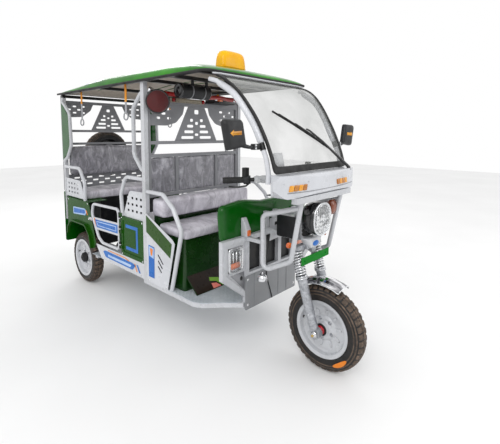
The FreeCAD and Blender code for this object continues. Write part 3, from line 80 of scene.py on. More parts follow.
# ---------------------------------------------------------------- materials
class Shade:
    """A Principled material built up node by node."""

    def __init__(self, name, base, rough=0.5, metal=0.0):
        self.m = bpy.data.materials.new(name)
        self.m.use_nodes = True
        self.nt = self.m.node_tree
        self.b = self.nt.nodes["Principled BSDF"]
        self.b.inputs["Base Color"].default_value = (*base, 1)
        self.b.inputs["Roughness"].default_value = rough
        self.b.inputs["Metallic"].default_value = metal
        self.tc = self.nt.nodes.new("ShaderNodeTexCoord")
        self.co = self.tc.outputs["Object"]
        self.base = base
        self.height = None
        self.col = None

    def n(self, kind, **props):
        nd = self.nt.nodes.new("ShaderNode" + kind)
        for k, v in props.items():
            setattr(nd, k, v)
        return nd

    def link(self, a, b):
        self.nt.links.new(a, b)

    def set(self, **kw):
        names = {"coat": "Coat Weight", "coat_rough": "Coat Roughness", "sheen": "Sheen Weight",
                 "sheen_rough": "Sheen Roughness", "spec": "Specular IOR Level", "ior": "IOR", "trans": "Transmission Weight",
                 "alpha": "Alpha", "emit": "Emission Strength", "sub": "Subsurface Weight", "aniso": "Anisotropic"}
        for k, v in kw.items():
            self.b.inputs[names[k]].default_value = v
        return self

    def scaled(self, sx=1, sy=1, sz=1, rz=0.0, ry=0.0, rx=0.0):
        mp = self.n("Mapping")
        mp.inputs["Scale"].default_value = (sx, sy, sz)
        mp.inputs["Rotation"].default_value = (rx, ry, rz)
        self.link(self.co, mp.inputs["Vector"])
        return mp.outputs["Vector"]

    def noise(self, scale, detail=4.0, rough=0.55, vec=None, distort=0.0):
        nz = self.n("TexNoise")
        nz.inputs["Scale"].default_value = scale
        nz.inputs["Detail"].default_value = detail
        nz.inputs["Roughness"].default_value = rough
        nz.inputs["Distortion"].default_value = distort
        self.link(vec or self.co, nz.inputs["Vector"])
        return nz.outputs["Fac"]

    def ramp(self, fac, stops):
        r = self.n("ValToRGB")
        el = r.color_ramp.elements
        while len(el) > 2:
            el.remove(el[-1])
        for i, (pos, c) in enumerate(stops):
            e = el[i] if i < 2 else el.new(pos)
            e.position = pos
            e.color = (*c, 1) if len(c) == 3 else c
        self.link(fac, r.inputs["Fac"])
        return r.outputs["Color"]

    def grey(self, fac, lo, hi, a=0.0, b=1.0):
        r = self.n("MapRange")
        r.inputs["From Min"].default_value = a
        r.inputs["From Max"].default_value = b
        r.inputs["To Min"].default_value = lo
        r.inputs["To Max"].default_value = hi
        self.link(fac, r.inputs["Value"])
        return r.outputs["Result"]

    def mix(self, fac, a, b):
        mx = self.n("Mix", data_type="RGBA")
        if isinstance(fac, float):
            mx.inputs[0].default_value = fac
        else:
            self.link(fac, mx.inputs[0])
        for s, v in ((mx.inputs[6], a), (mx.inputs[7], b)):
            if isinstance(v, tuple):
                s.default_value = (*v, 1)
            else:
                self.link(v, s)
        return mx.outputs[2]

    def math(self, op, a, b=None):
        nd = self.n("Math", operation=op)
        for s, v in ((nd.inputs[0], a), (nd.inputs[1], b)):
            if v is None:
                continue
            if isinstance(v, (int, float)):
                s.default_value = v
            else:
                self.link(v, s)
        return nd.outputs[0]

    def colour(self, out):
        self.col = out
        self.link(out, self.b.inputs["Base Color"])
        return self

    def roughness(self, lo, hi, scale=9.0):
        self.link(self.grey(self.noise(scale, 5.0), lo, hi, 0.3, 0.7), self.b.inputs["Roughness"])
        return self

    def bump(self, height, strength=0.3, dist=0.001):
        bp = self.n("Bump")
        bp.inputs["Strength"].default_value = strength
        bp.inputs["Distance"].default_value = dist
        self.link(height, bp.inputs["Height"])
        if self.height is not None:
            self.link(self.height, bp.inputs["Normal"])
        self.height = bp.outputs["Normal"]
        self.link(self.height, self.b.inputs["Normal"])
        return self

    def soft_edges(self, radius=0.0022):
        bv = self.n("Bevel", samples=4)
        bv.inputs["Radius"].default_value = radius
        self.height = bv.outputs["Normal"]
        self.link(self.height, self.b.inputs["Normal"])
        return self

    def facing_z(self):
        g = self.n("NewGeometry")
        s = self.n("SeparateXYZ")
        self.link(g.outputs["Normal"], s.inputs[0])
        return s.outputs["Z"]


def lin(h):
    h = h.lstrip("#")
    return tuple(((int(h[i:i + 2], 16) / 255.0) ** 2.2) for i in (0, 2, 4))


def paint(name, c, rough=0.34, coat=0.35, dirt=0.35, metal=0.0, edges=True, peel=0.05, spec=0.4, crisp=False):
    s = Shade(name, c, rough, metal)
    s.set(spec=spec)
    lo = tuple(v * 0.86 for v in c)
    hi = tuple(min(1, v * 1.08) for v in c)
    base = s.ramp(s.noise(2.6, 6, 0.6), [(0.3, lo), (0.7, hi)])
    dust = s.grey(s.noise(11, 8, 0.68, distort=0.4), 0.0, dirt, 0.52, 0.80)
    dusty = tuple(0.55 * v + 0.45 * d for v, d in zip(c, (0.30, 0.27, 0.23)))
    s.colour(s.mix(dust, base, dusty))
    s.roughness(rough - 0.06, rough + 0.14, 14)
    s.set(coat=coat, coat_rough=0.04 if crisp else 0.10)
    if edges:
        s.soft_edges()
    s.bump(s.noise(260, 3), peel, 0.0004)
    s.bump(s.noise(4.5, 3), 0.28 if crisp else 0.10, 0.006 if crisp else 0.003)
    return s


M = {}
M["silver"] = paint("silver_enamel", lin("#bdbfc3"), 0.26, 0.4, 0.14, metal=0.1)
M["white"] = paint("white_enamel", lin("#c6c8cd"), 0.24, 0.45, 0.14)
M["green"] = paint("green_enamel", lin("#0b5210"), 0.14, 0.22, 0.06, spec=0.22, crisp=True)
# lighter copy of the green enamel for the roof ribs: painted highlight on the ribs
M["green_lit"] = paint("green_painted_light_enamel", lin("#235a14"), 0.16, 0.18, 0.08, spec=0.2, crisp=True)
M["green_side"] = paint("green_side_enamel", lin("#1d4d0d"), 0.22, 0.06, 0.06, spec=0.1)
# darker copy of the green enamel for the seat box under the bench: painted shade
M["green_deep"] = paint("green_shadow_enamel", lin("#14380f"), 0.2, 0.2, 0.12, spec=0.28)
M["grey"] = paint("grey_enamel", lin("#85868a"), 0.40, 0.12, 0.2)
M["apron"] = paint("apron_enamel", lin("#85878a"), 0.40, 0.15, 0.30)
M["black_paint"] = paint("black_enamel", lin("#131416"), 0.38, 0.2, 0.2, spec=0.3)


def roof_material():
    s = Shade("roof_skin", lin("#155f12"), 0.22)
    g = s.ramp(s.noise(3.0, 6, 0.6), [(0.3, lin("#1c5a0e")), (0.55, lin("#2b7a14")), (0.75, lin("#3f9a20"))])
    beige = s.ramp(s.noise(40, 5, 0.6), [(0.3, lin("#a1978b")), (0.7, lin("#bdb2a5"))])
    under = s.grey(s.facing_z(), 1.0, 0.0, -0.30, -0.10)
    s.colour(s.mix(under, g, beige))
    s.link(s.grey(under, 0.20, 0.85), s.b.inputs["Roughness"])
    s.set(coat=0.12, coat_rough=0.05, spec=0.2)
    s.bump(s.noise(3.2, 4), 0.5, 0.012)
    s.bump(s.noise(240, 3), 0.05, 0.0004)
    return s


M["roof"] = roof_material()


def chrome_material(name="bright_chrome", c=(0.80, 0.81, 0.83), rough=0.08):
    s = Shade(name, c, rough, 1.0)
    s.colour(s.ramp(s.noise(18, 5), [(0.35, tuple(v * 0.86 for v in c)), (0.7, c)]))
    s.roughness(rough, rough + 0.14, 30)
    s.bump(s.noise(14, 3), 0.06, 0.002)
    return s


M["chrome"] = chrome_material()


def chrome_with_painted_reflections():
    s = Shade("chrome_painted_reflections", (0.8, 0.8, 0.82), 0.1, 1.0)
    # the streaked dark and bright patches in the chrome's colour are painted reflections
    v = s.scaled(5.0, 16.0, 9.0)
    s.colour(s.ramp(s.noise(1.0, 3, 0.5, vec=v, distort=1.6), [(0.36, (0.16, 0.16, 0.17)), (0.47, (0.42, 0.42, 0.44)), (0.56, (0.90, 0.90, 0.92))]))
    s.roughness(0.05, 0.16, 30)
    s.bump(s.noise(9, 3), 0.30, 0.006)
    return s


M["guard_chrome"] = chrome_with_painted_reflections()
M["mirror"] = chrome_material("mirror_glass", (0.86, 0.88, 0.90), 0.02)


def facets():
    s = Shade("faceted_reflector", (0.85, 0.86, 0.88), 0.07, 1.0)
    v = s.n("TexVoronoi", feature="F1")
    v.inputs["Scale"].default_value = 46.0
    v.inputs["Randomness"].default_value = 0.5
    s.link(s.co, v.inputs["Vector"])
    # white facet centres and dark facet edges in the colour are painted reflections of the facets
    s.colour(s.ramp(v.outputs["Distance"], [(0.0, (1.0, 1.0, 1.0)), (0.40, (0.93, 0.94, 0.95)), (0.66, (0.24, 0.25, 0.27))]))
    s.roughness(0.04, 0.14, 40)
    s.bump(v.outputs["Distance"], 0.6, 0.008)
    return s


M["facets"] = facets()


def cast():
    s = Shade("cast_alloy_grain", lin("#b3b5b9"), 0.42, 0.75)
    s.colour(s.ramp(s.noise(60, 6, 0.65), [(0.3, lin("#84878c")), (0.6, lin("#b8babf")), (0.8, lin("#d0d2d6"))]))
    s.roughness(0.34, 0.58, 45)
    s.soft_edges(0.003)
    s.bump(s.noise(180, 5, 0.7), 0.5, 0.0012)
    s.bump(s.noise(22, 4), 0.25, 0.003)
    return s


M["cast"] = cast()


def iron():
    s = Shade("painted_iron", lin("#202123"), 0.55, 0.3)
    rust = s.grey(s.noise(26, 8, 0.7), 0.0, 0.75, 0.58, 0.74)
    s.colour(s.mix(rust, s.ramp(s.noise(9, 5), [(0.3, lin("#161718")), (0.7, lin("#2c2d2f"))]), lin("#4a3022")))
    s.roughness(0.45, 0.8, 20)
    s.soft_edges(0.002)
    s.bump(s.noise(90, 5), 0.3, 0.0015)
    return s


M["iron"] = iron()


def rubber(name="moulded_rubber", c="#151515", c2="#222222", rough=0.62):
    s = Shade(name, lin(c), rough)
    s.colour(s.ramp(s.noise(22, 6), [(0.3, lin(c)), (0.75, lin(c2))]))
    s.roughness(rough - 0.12, rough + 0.15, 26)
    s.bump(s.noise(420, 3), 0.25, 0.0005)
    return s


M["rubber"] = rubber()
M["cable"] = rubber("cable_skin", "#0d0d0e", "#17181a", 0.45)


def tyre_rubber():
    s = Shade("tyre_compound", lin("#1c1a18"), 0.75)
    dust = s.grey(s.noise(15, 8, 0.7, distort=0.5), 0.0, 0.55, 0.50, 0.80)
    base = s.ramp(s.noise(45, 5), [(0.3, lin("#0c0b0b")), (0.7, lin("#1a1817"))])
    s.colour(s.mix(dust, base, lin("#4a3d35")))
    s.roughness(0.42, 0.7, 22)
    s.bump(s.noise(300, 4), 0.35, 0.0006)
    s.bump(s.noise(34, 4), 0.2, 0.0018)
    return s


M["tyre"] = tyre_rubber()


def tread_rubber():
    s = Shade("tread_compound", lin("#4e4038"), 0.85)
    base = s.ramp(s.noise(38, 7, 0.65, distort=0.3), [(0.32, lin("#37302a")), (0.55, lin("#5b4d42")), (0.75, lin("#7d6a5b"))])
    s.colour(base)
    s.roughness(0.6, 0.9, 22)
    s.bump(s.noise(300, 4), 0.35, 0.0006)
    return s


M["tyre_tread"] = tread_rubber()


def plastic(name, c, c2, rough=0.45, grain=0.35):
    s = Shade(name, lin(c), rough)
    s.colour(s.ramp(s.noise(12, 5), [(0.3, lin(c)), (0.75, lin(c2))]))
    s.roughness(rough - 0.08, rough + 0.12, 30)
    v = s.n("TexVoronoi")
    v.inputs["Scale"].default_value = 620.0
    s.link(s.co, v.inputs["Vector"])
    s.bump(v.outputs["Distance"], grain, 0.0004)
    return s


M["black"] = plastic("black_moulding", "#141517", "#1f2124")
M["black_gloss"] = plastic("gloss_black_moulding", "#0c0c0e", "#161719", 0.18, 0.05).set(coat=0.5)
M["beige"] = plastic("beige_moulding", "#b9ad98", "#cbc0ac", 0.4, 0.1)
M["red"] = plastic("red_moulding", "#8e1313", "#a81a18", 0.3, 0.1).set(coat=0.4)
M["dark_red"] = plastic("dark_red_cone", "#3c0a0c", "#5a1013", 0.42, 0.2)
M["amber"] = plastic("amber_reflector", "#cf8412", "#e6a22a", 0.2, 0.0).set(coat=0.4, coat_rough=0.05)
M["amber_dark"] = plastic("amber_reflector_dark", "#9c5c12", "#bd7a1e", 0.2, 0.0).set(coat=0.4, coat_rough=0.05)
M["orange"] = plastic("orange_lens", "#c2551a", "#e0702a", 0.2, 0.0).set(coat=0.8, coat_rough=0.05)
M["blue_film"] = plastic("blue_film", "#1c5eb0", "#2c72c0", 0.3, 0.0).set(coat=0.12, spec=0.2)
M["pale_film"] = plastic("pale_blue_film", "#8fb0dc", "#bccfea", 0.3, 0.0).set(coat=0.12, spec=0.25)
M["white_film"] = plastic("white_film", "#e6e8ec", "#f4f5f7", 0.3, 0.0).set(coat=0.4)
M["orange_film"] = plastic("orange_film", "#d9721f", "#e88a33", 0.3, 0.0).set(coat=0.12, spec=0.25)
M["olive_film"] = plastic("olive_film", "#2a4818", "#335420", 0.3, 0.0).set(coat=0.08, spec=0.15)
M["lime_film"] = plastic("lime_film", "#6d9f34", "#80b442", 0.3, 0.0).set(coat=0.1, spec=0.2)
M["pink_film"] = plastic("pink_film", "#e2756a", "#ee8d80", 0.3, 0.0).set(coat=0.1, spec=0.2)
M["brown_film"] = plastic("dark_brown_film", "#221a15", "#30241d", 0.3, 0.0).set(coat=0.1, spec=0.15)
M["plate"] = plastic("plate_green", "#00701c", "#027a22", 0.5, 0.05).set(spec=0.12)
M["red_hub"] = plastic("red_hub_cap", "#a3121f", "#c01c2b", 0.25, 0.05).set(coat=0.5)
M["brass"] = chrome_material("brass_end", (0.62, 0.44, 0.16), 0.22)
M["brown_lens"] = plastic("brown_lens", "#6b3216", "#8a431f", 0.25, 0.0).set(coat=0.5)
M["lamp_beige"] = plastic("ribbed_lamp_cover", "#a99f8c", "#c4bba6", 0.3, 0.0).set(coat=0.5)
M["strap"] = plastic("orange_webbing", "#c97a12", "#e39a22", 0.6, 0.5)
M["grey_strap"] = plastic("grey_webbing", "#8a8b8f", "#a5a6aa", 0.6, 0.5)


def bubble():
    s = Shade("clear_wrap", (0.86, 0.88, 0.90), 0.22)
    s.set(trans=0.35, ior=1.35, coat=0.5)
    s.colour(s.ramp(s.noise(40, 5), [(0.3, (0.72, 0.75, 0.78)), (0.7, (0.93, 0.94, 0.95))]))
    v = s.n("TexVoronoi")
    v.inputs["Scale"].default_value = 130.0
    s.link(s.co, v.inputs["Vector"])
    s.bump(v.outputs["Distance"], 0.8, 0.004)
    return s


M["wrap"] = bubble()


def yellow():
    s = Shade("yellow_lamp_shell", lin("#f2b000"), 0.24)
    s.colour(s.ramp(s.noise(7, 4), [(0.3, lin("#eca200")), (0.7, lin("#fcbc00"))]))
    s.set(coat=0.15, coat_rough=0.08, sub=0.05, ior=1.49, spec=0.25)
    s.b.inputs["Subsurface Radius"].default_value = (0.02, 0.012, 0.004)
    s.roughness(0.16, 0.30, 18)
    s.bump(s.noise(26, 4), 0.08, 0.002)
    return s


M["yellow"] = yellow()


def glass(name, tint=(0.93, 0.96, 0.95), rough=0.0, amount=0.16):
    """Thin clear pane: mostly see-through with a glossy skin."""
    m = bpy.data.materials.new(name)
    m.use_nodes = True
    nt = m.node_tree
    for nd in list(nt.nodes):
        nt.nodes.remove(nd)
    out = nt.nodes.new("ShaderNodeOutputMaterial")
    b = nt.nodes.new("ShaderNodeBsdfPrincipled")
    b.inputs["Base Color"].default_value = (*tint, 1)
    b.inputs["Roughness"].default_value = max(rough, 0.02)
    b.inputs["Specular IOR Level"].default_value = 0.5
    tc = nt.nodes.new("ShaderNodeTexCoord")
    nz = nt.nodes.new("ShaderNodeTexNoise")
    nz.inputs["Scale"].default_value = 5.0
    nz.inputs["Detail"].default_value = 8.0
    nt.links.new(tc.outputs["Object"], nz.inputs["Vector"])
    mr = nt.nodes.new("ShaderNodeMapRange")
    mr.inputs["From Min"].default_value = 0.35
    mr.inputs["From Max"].default_value = 0.75
    mr.inputs["To Min"].default_value = amount * 0.7
    mr.inputs["To Max"].default_value = amount * 1.8
    nt.links.new(nz.outputs["Fac"], mr.inputs["Value"])
    lw = nt.nodes.new("ShaderNodeLayerWeight")
    lw.inputs["Blend"].default_value = 0.5
    pw = nt.nodes.new("ShaderNodeMath")
    pw.operation = "POWER"
    pw.inputs[1].default_value = 4.0
    nt.links.new(lw.outputs["Facing"], pw.inputs[0])
    ad = nt.nodes.new("ShaderNodeMath")
    ad.operation = "ADD"
    ad.use_clamp = True
    nt.links.new(mr.outputs["Result"], ad.inputs[0])
    nt.links.new(pw.outputs[0], ad.inputs[1])
    nt.links.new(ad.outputs[0], b.inputs["Alpha"])
    nt.links.new(b.outputs["BSDF"], out.inputs["Surface"])
    return m


GLASS = glass("screen_glass", (0.30, 0.31, 0.30), 0.02, 0.13)
LENS = glass("lamp_glass", (0.92, 0.94, 0.95), 0.02, 0.10)
AMBER_GLASS = glass("amber_glass", (0.85, 0.35, 0.05), 0.05, 0.75)


def vinyl(name, c1, c2, c3, fold=(6.0, 30.0), angle=0.0):
    """Pale seat cover under a crinkled clear film."""
    s = Shade(name, lin(c2), 0.42)
    v1 = s.scaled(fold[0], fold[1], fold[0] * 1.4, rx=angle)
    folds = s.noise(1.0, 6, 0.62, vec=v1, distort=1.2)
    fine = s.noise(28, 6, 0.6, distort=0.8)
    # fold tones follow the fold bump: painted shade in the troughs and painted highlight on the crests
    fold_shade_and_highlight = s.ramp(folds, [(0.28, lin(c1)), (0.5, lin(c2)), (0.72, lin(c3))])
    # the fine crinkles mixed towards the pale tone are painted glints on the film
    s.colour(s.mix(s.grey(fine, 0.0, 0.45, 0.5, 0.75), fold_shade_and_highlight, lin(c3)))
    s.roughness(0.26, 0.5, 30)
    s.set(coat=0.75, coat_rough=0.14, sheen=0.12)
    s.bump(folds, 0.75, 0.010)
    s.bump(fine, 0.45, 0.004)
    s.bump(s.noise(420, 2), 0.12, 0.0004)
    return s


M["vinyl"] = vinyl("wrapped_seat_cover", "#8f8b96", "#bbb7c1", "#e0dde6", fold=(4.0, 13.0), angle=0.5)
M["vinyl_dark"] = vinyl("wrapped_pad_cover", "#5c5b61", "#7b7a81", "#b3b2ba", fold=(5.0, 17.0), angle=0.75)


def tread_plate():
    s = Shade("tread_plate_steel", lin("#c2c8ce"), 0.34, 0.15)
    s.colour(s.ramp(s.noise(8, 7, 0.65), [(0.3, lin("#b2bac2")), (0.7, lin("#d2d8de"))]))
    s.roughness(0.28, 0.5, 18)
    heights = []
    for rz in (0.785, -0.785):
        mp = s.scaled(1, 1, 1, rz=rz)
        br = s.n("TexBrick")
        br.offset = 0.5
        br.inputs["Scale"].default_value = 1.0
        br.inputs["Brick Width"].default_value = 0.046
        br.inputs["Row Height"].default_value = 0.023
        br.inputs["Mortar Size"].default_value = 0.0095
        br.inputs["Mortar Smooth"].default_value = 0.6
        s.link(mp, br.inputs["Vector"])
        heights.append(br.outputs["Fac"])
    chk = s.n("TexChecker")
    chk.inputs["Scale"].default_value = 1 / 0.0325
    s.link(s.scaled(1, 1, 1, rz=0.785), chk.inputs["Vector"])
    s.bump(s.math("SUBTRACT", 1.0, s.math("MULTIPLY", heights[0], 1.0)), 0.8, 0.0025)
    s.bump(s.noise(160, 4), 0.15, 0.0008)
    return s


M["tread"] = tread_plate()


# ------------------------------------------------------------ piece helpers
def new_mesh(name, verts, faces, smooth=True):
    me = bpy.data.meshes.new(name)
    me.from_pydata([tuple(v) for v in verts], [], faces)
    me.validate()
    me.update()
    if smooth:
        for p_ in me.polygons:
            p_.use_smooth = True
    ob = bpy.data.objects.new(name, me)
    bpy.context.scene.collection.objects.link(ob)
    return ob


def give(ob, key, body="chassis", node=None):
    m = M[key].m if isinstance(key, str) else key
    ob.data.materials.clear()
    ob.data.materials.append(m)
    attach(ob, body)
    return ob


def join_meshes(name, parts_):
    """Several (verts, faces) lists as one mesh."""
    V_, F_ = [], []
    for vs, fs in parts_:
        o = len(V_)
        V_ += [tuple(v) for v in vs]
        F_ += [tuple(i + o for i in f) for f in fs]
    return new_mesh(name, V_, F_)


def bevel(ob, width=0.002, segs=2, angle=0.6):
    md = ob.modifiers.new("edge_round", "BEVEL")
    md.width = width
    md.segments = segs
    md.limit_method = "ANGLE"
    md.angle_limit = angle
    md.harden_normals = False
    return ob


def solid_outline(pts, normal, thick):
    """A flat closed outline given thickness along normal: (verts, faces)."""
    n_ = len(pts)
    d = Vector(normal).normalized() * thick
    vs = [Vector(p) for p in pts] + [Vector(p) + d for p in pts]
    fs = [tuple(range(n_))[::-1], tuple(range(n_, 2 * n_))]
    for i in range(n_):
        j = (i + 1) % n_
        fs.append((i, j, n_ + j, n_ + i))
    return vs, fs


def round_outline(pts, radius, steps=5):
    """A flat outline with its corners rounded."""
    out = []
    n_ = len(pts)
    rs = radius if isinstance(radius, (list, tuple)) else [radius] * n_
    for i in range(n_):
        a, b, c = Vector(pts[i - 1]), Vector(pts[i]), Vector(pts[(i + 1) % n_])
        r = rs[i]
        if r <= 0:
            out.append(b)
            continue
        u, w = (a - b), (c - b)
        ang = u.angle(w)
        t = min(r / math.tan(ang / 2), u.length * 0.48, w.length * 0.48)
        s0, e0 = b + u.normalized() * t, b + w.normalized() * t
        for k in range(steps + 1):
            f = k / steps
            out.append((1 - f) ** 2 * s0 + 2 * f * (1 - f) * b + f ** 2 * e0)
    return out


def tube_mesh(path, radius, segs=12, cap=True, closed=False):
    """Tube along points, carried without twist: (verts, faces). radius may be a list."""
    pts = [Vector(p) for p in path]
    n_ = len(pts)
    rs = radius if isinstance(radius, (list, tuple)) else [radius] * n_
    vs, fs = [], []
    ref = None
    for i, p_ in enumerate(pts):
        a = pts[(i - 1) % n_] if (i > 0 or closed) else pts[i]
        c = pts[(i + 1) % n_] if (i < n_ - 1 or closed) else pts[i]
        t = (c - a).normalized()
        if ref is None:
            ref = t.orthogonal().normalized()
        ref = (ref - t * ref.dot(t)).normalized()
        bi = t.cross(ref)
        for k in range(segs):
            an = 2 * math.pi * k / segs
            vs.append(p_ + (ref * math.cos(an) + bi * math.sin(an)) * rs[i])
    rings = n_ if closed else n_ - 1
    for i in range(rings):
        j = (i + 1) % n_
        for k in range(segs):
            l_ = (k + 1) % segs
            fs.append((i * segs + k, i * segs + l_, j * segs + l_, j * segs + k))
    if cap and not closed:
        fs.append(tuple(range(segs))[::-1])
        fs.append(tuple((n_ - 1) * segs + k for k in range(segs)))
    return vs, fs


def lathe(profile, origin, axis, segs=64, closed_profile=False, start=0.0):
    """Turn (along, radius) points about an axis: (verts, faces)."""
    ax = Vector(axis).normalized()
    e1 = ax.orthogonal().normalized()
    e2 = ax.cross(e1)
    o = Vector(origin)
    vs, fs = [], []
    n_ = len(profile)
    for k in range(segs):
        an = start + 2 * math.pi * k / segs
        d = e1 * math.cos(an) + e2 * math.sin(an)
        for (h, r) in profile:
            vs.append(o + ax * h + d * r)
    last = n_ if closed_profile else n_ - 1
    for k in range(segs):
        l_ = (k + 1) % segs
        for i in range(last):
            j = (i + 1) % n_
            fs.append((k * n_ + i, k * n_ + j, l_ * n_ + j, l_ * n_ + i))
    return vs, fs


def bolt(at, normal, r=0.006, h=0.004):
    """Domed hexagon bolt head with its washer: (verts, faces)."""
    nrm = Vector(normal).normalized()
    e1 = nrm.orthogonal().normalized()
    e2 = nrm.cross(e1)
    o = Vector(at)
    vs, fs = [], []
    rings = [(0.0, 1.45, 16), (0.0012, 1.45, 16)]
    for hh, rr, cnt in rings:
        for k in range(cnt):
            an = 2 * math.pi * k / cnt
            vs.append(o + nrm * hh + (e1 * math.cos(an) + e2 * math.sin(an)) * r * rr)
    for k in range(16):
        l_ = (k + 1) % 16
        fs.append((k, l_, 16 + l_, 16 + k))
    fs.append(tuple(range(16, 32)))
    base = len(vs)
    for hh, rr in ((0.0012, 1.0), (h * 0.8, 1.0), (h, 0.82)):
        for k in range(6):
            an = 2 * math.pi * k / 6
            vs.append(o + nrm * hh + (e1 * math.cos(an) + e2 * math.sin(an)) * r * rr)
    for q in range(2):
        for k in range(6):
            l_ = (k + 1) % 6
            fs.append((base + q * 6 + k, base + q * 6 + l_, base + (q + 1) * 6 + l_, base + (q + 1) * 6 + k))
    fs.append(tuple(base + 12 + k for k in range(6)))
    return vs, fs


def decal(name, pts, normal, key, off=0.0009, thick=0.0004, radius=0.0, body="chassis"):
    """A thin applied film with its own edge, standing just proud of the sheet."""
    n_ = Vector(normal).normalized()
    o = [Vector(p) + n_ * off for p in pts]
    if radius:
        o = round_outline(o, radius)
    vs, fs = solid_outline(o, n_, thick)
    ob = new_mesh(name, vs, fs, smooth=False)
    return give(ob, key, body)


def both(fn):
    """Run fn for the right side (-1) and the left side (+1)."""
    for s in (-1, 1):
        fn(s, "right" if s < 0 else "left")


def paint_node(node, key):
    m = M[key].m if isinstance(key, str) else key
    ob = NODES[node]
    if not ob.material_slots:
        ob.data.materials.append(m)
    for sl in ob.material_slots:
        sl.material = m


# ------------------------------------------------ finishes of the kept nodes
for node, key in (
        ("chassis_frame", "silver"), ("floor_plate", "tread"), ("front_frame", "silver"), ("front_guard", "silver"),
        # the inner bulkhead is an inner panel; its black stands in for the shade of the driver's foot space
        ("front_apron", "apron"), ("inner_bulkhead", "black_paint"), ("brake_cable", "cable"), ("leg_shield", "green"), ("front_cowl", "white"), ("dashboard", "black"),
        ("windscreen_rubber", "rubber"), ("windscreen_pillars", "white"), ("centre_pillars", "silver"),
        ("rear_pillars", "silver"), ("armrests", "white"), ("rear_armrests", "white"), ("side_panels", "green_side"), ("lower_side_sheets", "white"),
        ("rear_fenders", "green_side"), ("roof_frame", "black_paint"), ("roof_shell", "roof"), ("front_seat_box", "green_deep"),
        ("battery_pack", "black"), ("partition", "grey"), ("passenger_seat_boxes", "black_paint"), ("rear_wall", "grey"),
        ("rear_panels", "green"), ("overhead_audio", "black"), ("rear_axle", "iron"), ("steering_fork", "cast"),
        ("handlebar", "black_paint"), ("handlebar_grips", "rubber"), ("front_mudguard", "guard_chrome"),
        ("number_plate", "plate"), ("right_door", "white"), ("left_door", "white")):
    if node in NODES:
        paint_node(node, key)
paint_node("windscreen", GLASS)


# ------------------------------------------------------------------- cushions
def cushion(name, node, key, crown=0.012, seams=(), pinch=0.006, res=(34, 12, 8), axis_up=2, fill=0.6, wrinkle=0.004,
            flat_side=-1, edge=0.022):
    """A stuffed block: the CAD solid's room filled by a crowned form whose faces swell
    between their seams and whose corners pull in."""
    lo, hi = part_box(node) if isinstance(node, str) else node
    size = hi - lo
    c = (lo + hi) / 2
    nx, ny, nz = res
    bm = bmesh.new()
    grid = {}

    def vert(i, j, k):
        key_ = (i, j, k)
        if key_ not in grid:
            u = Vector((2 * i / nx - 1, 2 * j / ny - 1, 2 * k / nz - 1))
            grid[key_] = bm.verts.new(u)
        return grid[key_]

    for k in (0, nz):
        for i in range(nx):
            for j in range(ny):
                bm.faces.new((vert(i, j, k), vert(i + 1, j, k), vert(i + 1, j + 1, k), vert(i, j + 1, k)))
    for j in (0, ny):
        for i in range(nx):
            for k in range(nz):
                bm.faces.new((vert(i, j, k), vert(i + 1, j, k), vert(i + 1, j, k + 1), vert(i, j, k + 1)))
    for i in (0, nx):
        for j in range(ny):
            for k in range(nz):
                bm.faces.new((vert(i, j, k), vert(i, j + 1, k), vert(i, j + 1, k + 1), vert(i, j, k + 1)))
    bmesh.ops.recalc_face_normals(bm, faces=bm.faces)
    half = size / 2
    for v in bm.verts:
        u = v.co.copy()
        q = Vector((u.x * half.x, u.y * half.y, u.z * half.z))
        r = edge
        inner = Vector([max(-h + r, min(h - r, w)) for h, w in zip(half, q)])
        d = q - inner
        if d.length > 1e-9:
            big = max(abs(d.x), abs(d.y), abs(d.z))
            q = inner + d.normalized() * big
        # crown: the broad faces swell in the middle and fall to the seams
        a, b_ = [ax for ax in range(3) if ax != axis_up]
        fa, fb = 1 - abs(u[a]) ** 2.4, 1 - abs(u[b_]) ** 2.4
        swell = crown * fa * fb
        if u[axis_up] * flat_side < 0.999:
            q[axis_up] += (-crown + swell) * (1 if u[axis_up] > 0 else -1) * (1 if (u[axis_up] > 0) != (flat_side > 0) else 0)
        # sides pull in between corners
        for ax in (a, b_):
            o_ = b_ if ax == a else a
            f_ = (1 - abs(u[o_]) ** 2)
            if abs(u[ax]) > 0.98:
                q[ax] -= math.copysign(pinch * (1 - f_), u[ax])
        for (sa, pos, depth, wid) in seams:
            dd = abs((q[sa] + c[sa]) - pos)
            if dd < wid:
                q[axis_up] -= math.copysign(depth * (math.cos(dd / wid * math.pi) + 1) / 2, u[axis_up]) * (1 if (u[axis_up] > 0) != (flat_side > 0) else 0)
        wq = q + c
        nz_ = noise.noise(Vector((wq.x * 7 + 3, wq.y * 22, wq.z * 12)))
        nz2 = noise.noise(Vector((wq.x * 26, wq.y * 34 + 7, wq.z * 30)))
        if u[axis_up] * flat_side < 0.9:
            dirn = d.normalized() if d.length > 1e-9 else Vector((0, 0, 0))
            q -= dirn * wrinkle * (0.6 * abs(nz_) + 0.35 * abs(nz2))
            if abs(u[axis_up]) > 0.98:
                q[axis_up] -= math.copysign(wrinkle * (0.6 * abs(nz_) + 0.35 * abs(nz2)), u[axis_up])
        v.co = q + c
    me = bpy.data.meshes.new(name)
    bm.to_mesh(me)
    bm.free()
    for p_ in me.polygons:
        p_.use_smooth = True
    ob = bpy.data.objects.new(name, me)
    bpy.context.scene.collection.objects.link(ob)
    md = ob.modifiers.new("smooth_form", "SUBSURF")
    md.levels = 1
    md.render_levels = 1
    give(ob, key, "chassis")
    return ob


def cushion_set(name, node, key, **kw):
    ob = cushion(name, node, key, **kw)
    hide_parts(node)
    return ob


cushion_set("driver_seat_pad", "driver_cushion", "vinyl", res=(16, 44, 6), crown=0.010, wrinkle=0.006)
cushion_set("bench_back_pad", "bench_cushion", "vinyl", res=(10, 44, 8), crown=0.008, wrinkle=0.006)
cushion_set("middle_seat_pad", "middle_cushion", "vinyl", res=(16, 44, 6), crown=0.010, wrinkle=0.006)
cushion_set("rear_seat_pad", "rear_cushion", "vinyl", res=(18, 44, 6), crown=0.010, wrinkle=0.006)
cushion_set("rear_back_pad", "rear_backrest", "vinyl_dark", res=(6, 44, 14), axis_up=0, crown=0.008, wrinkle=0.006)

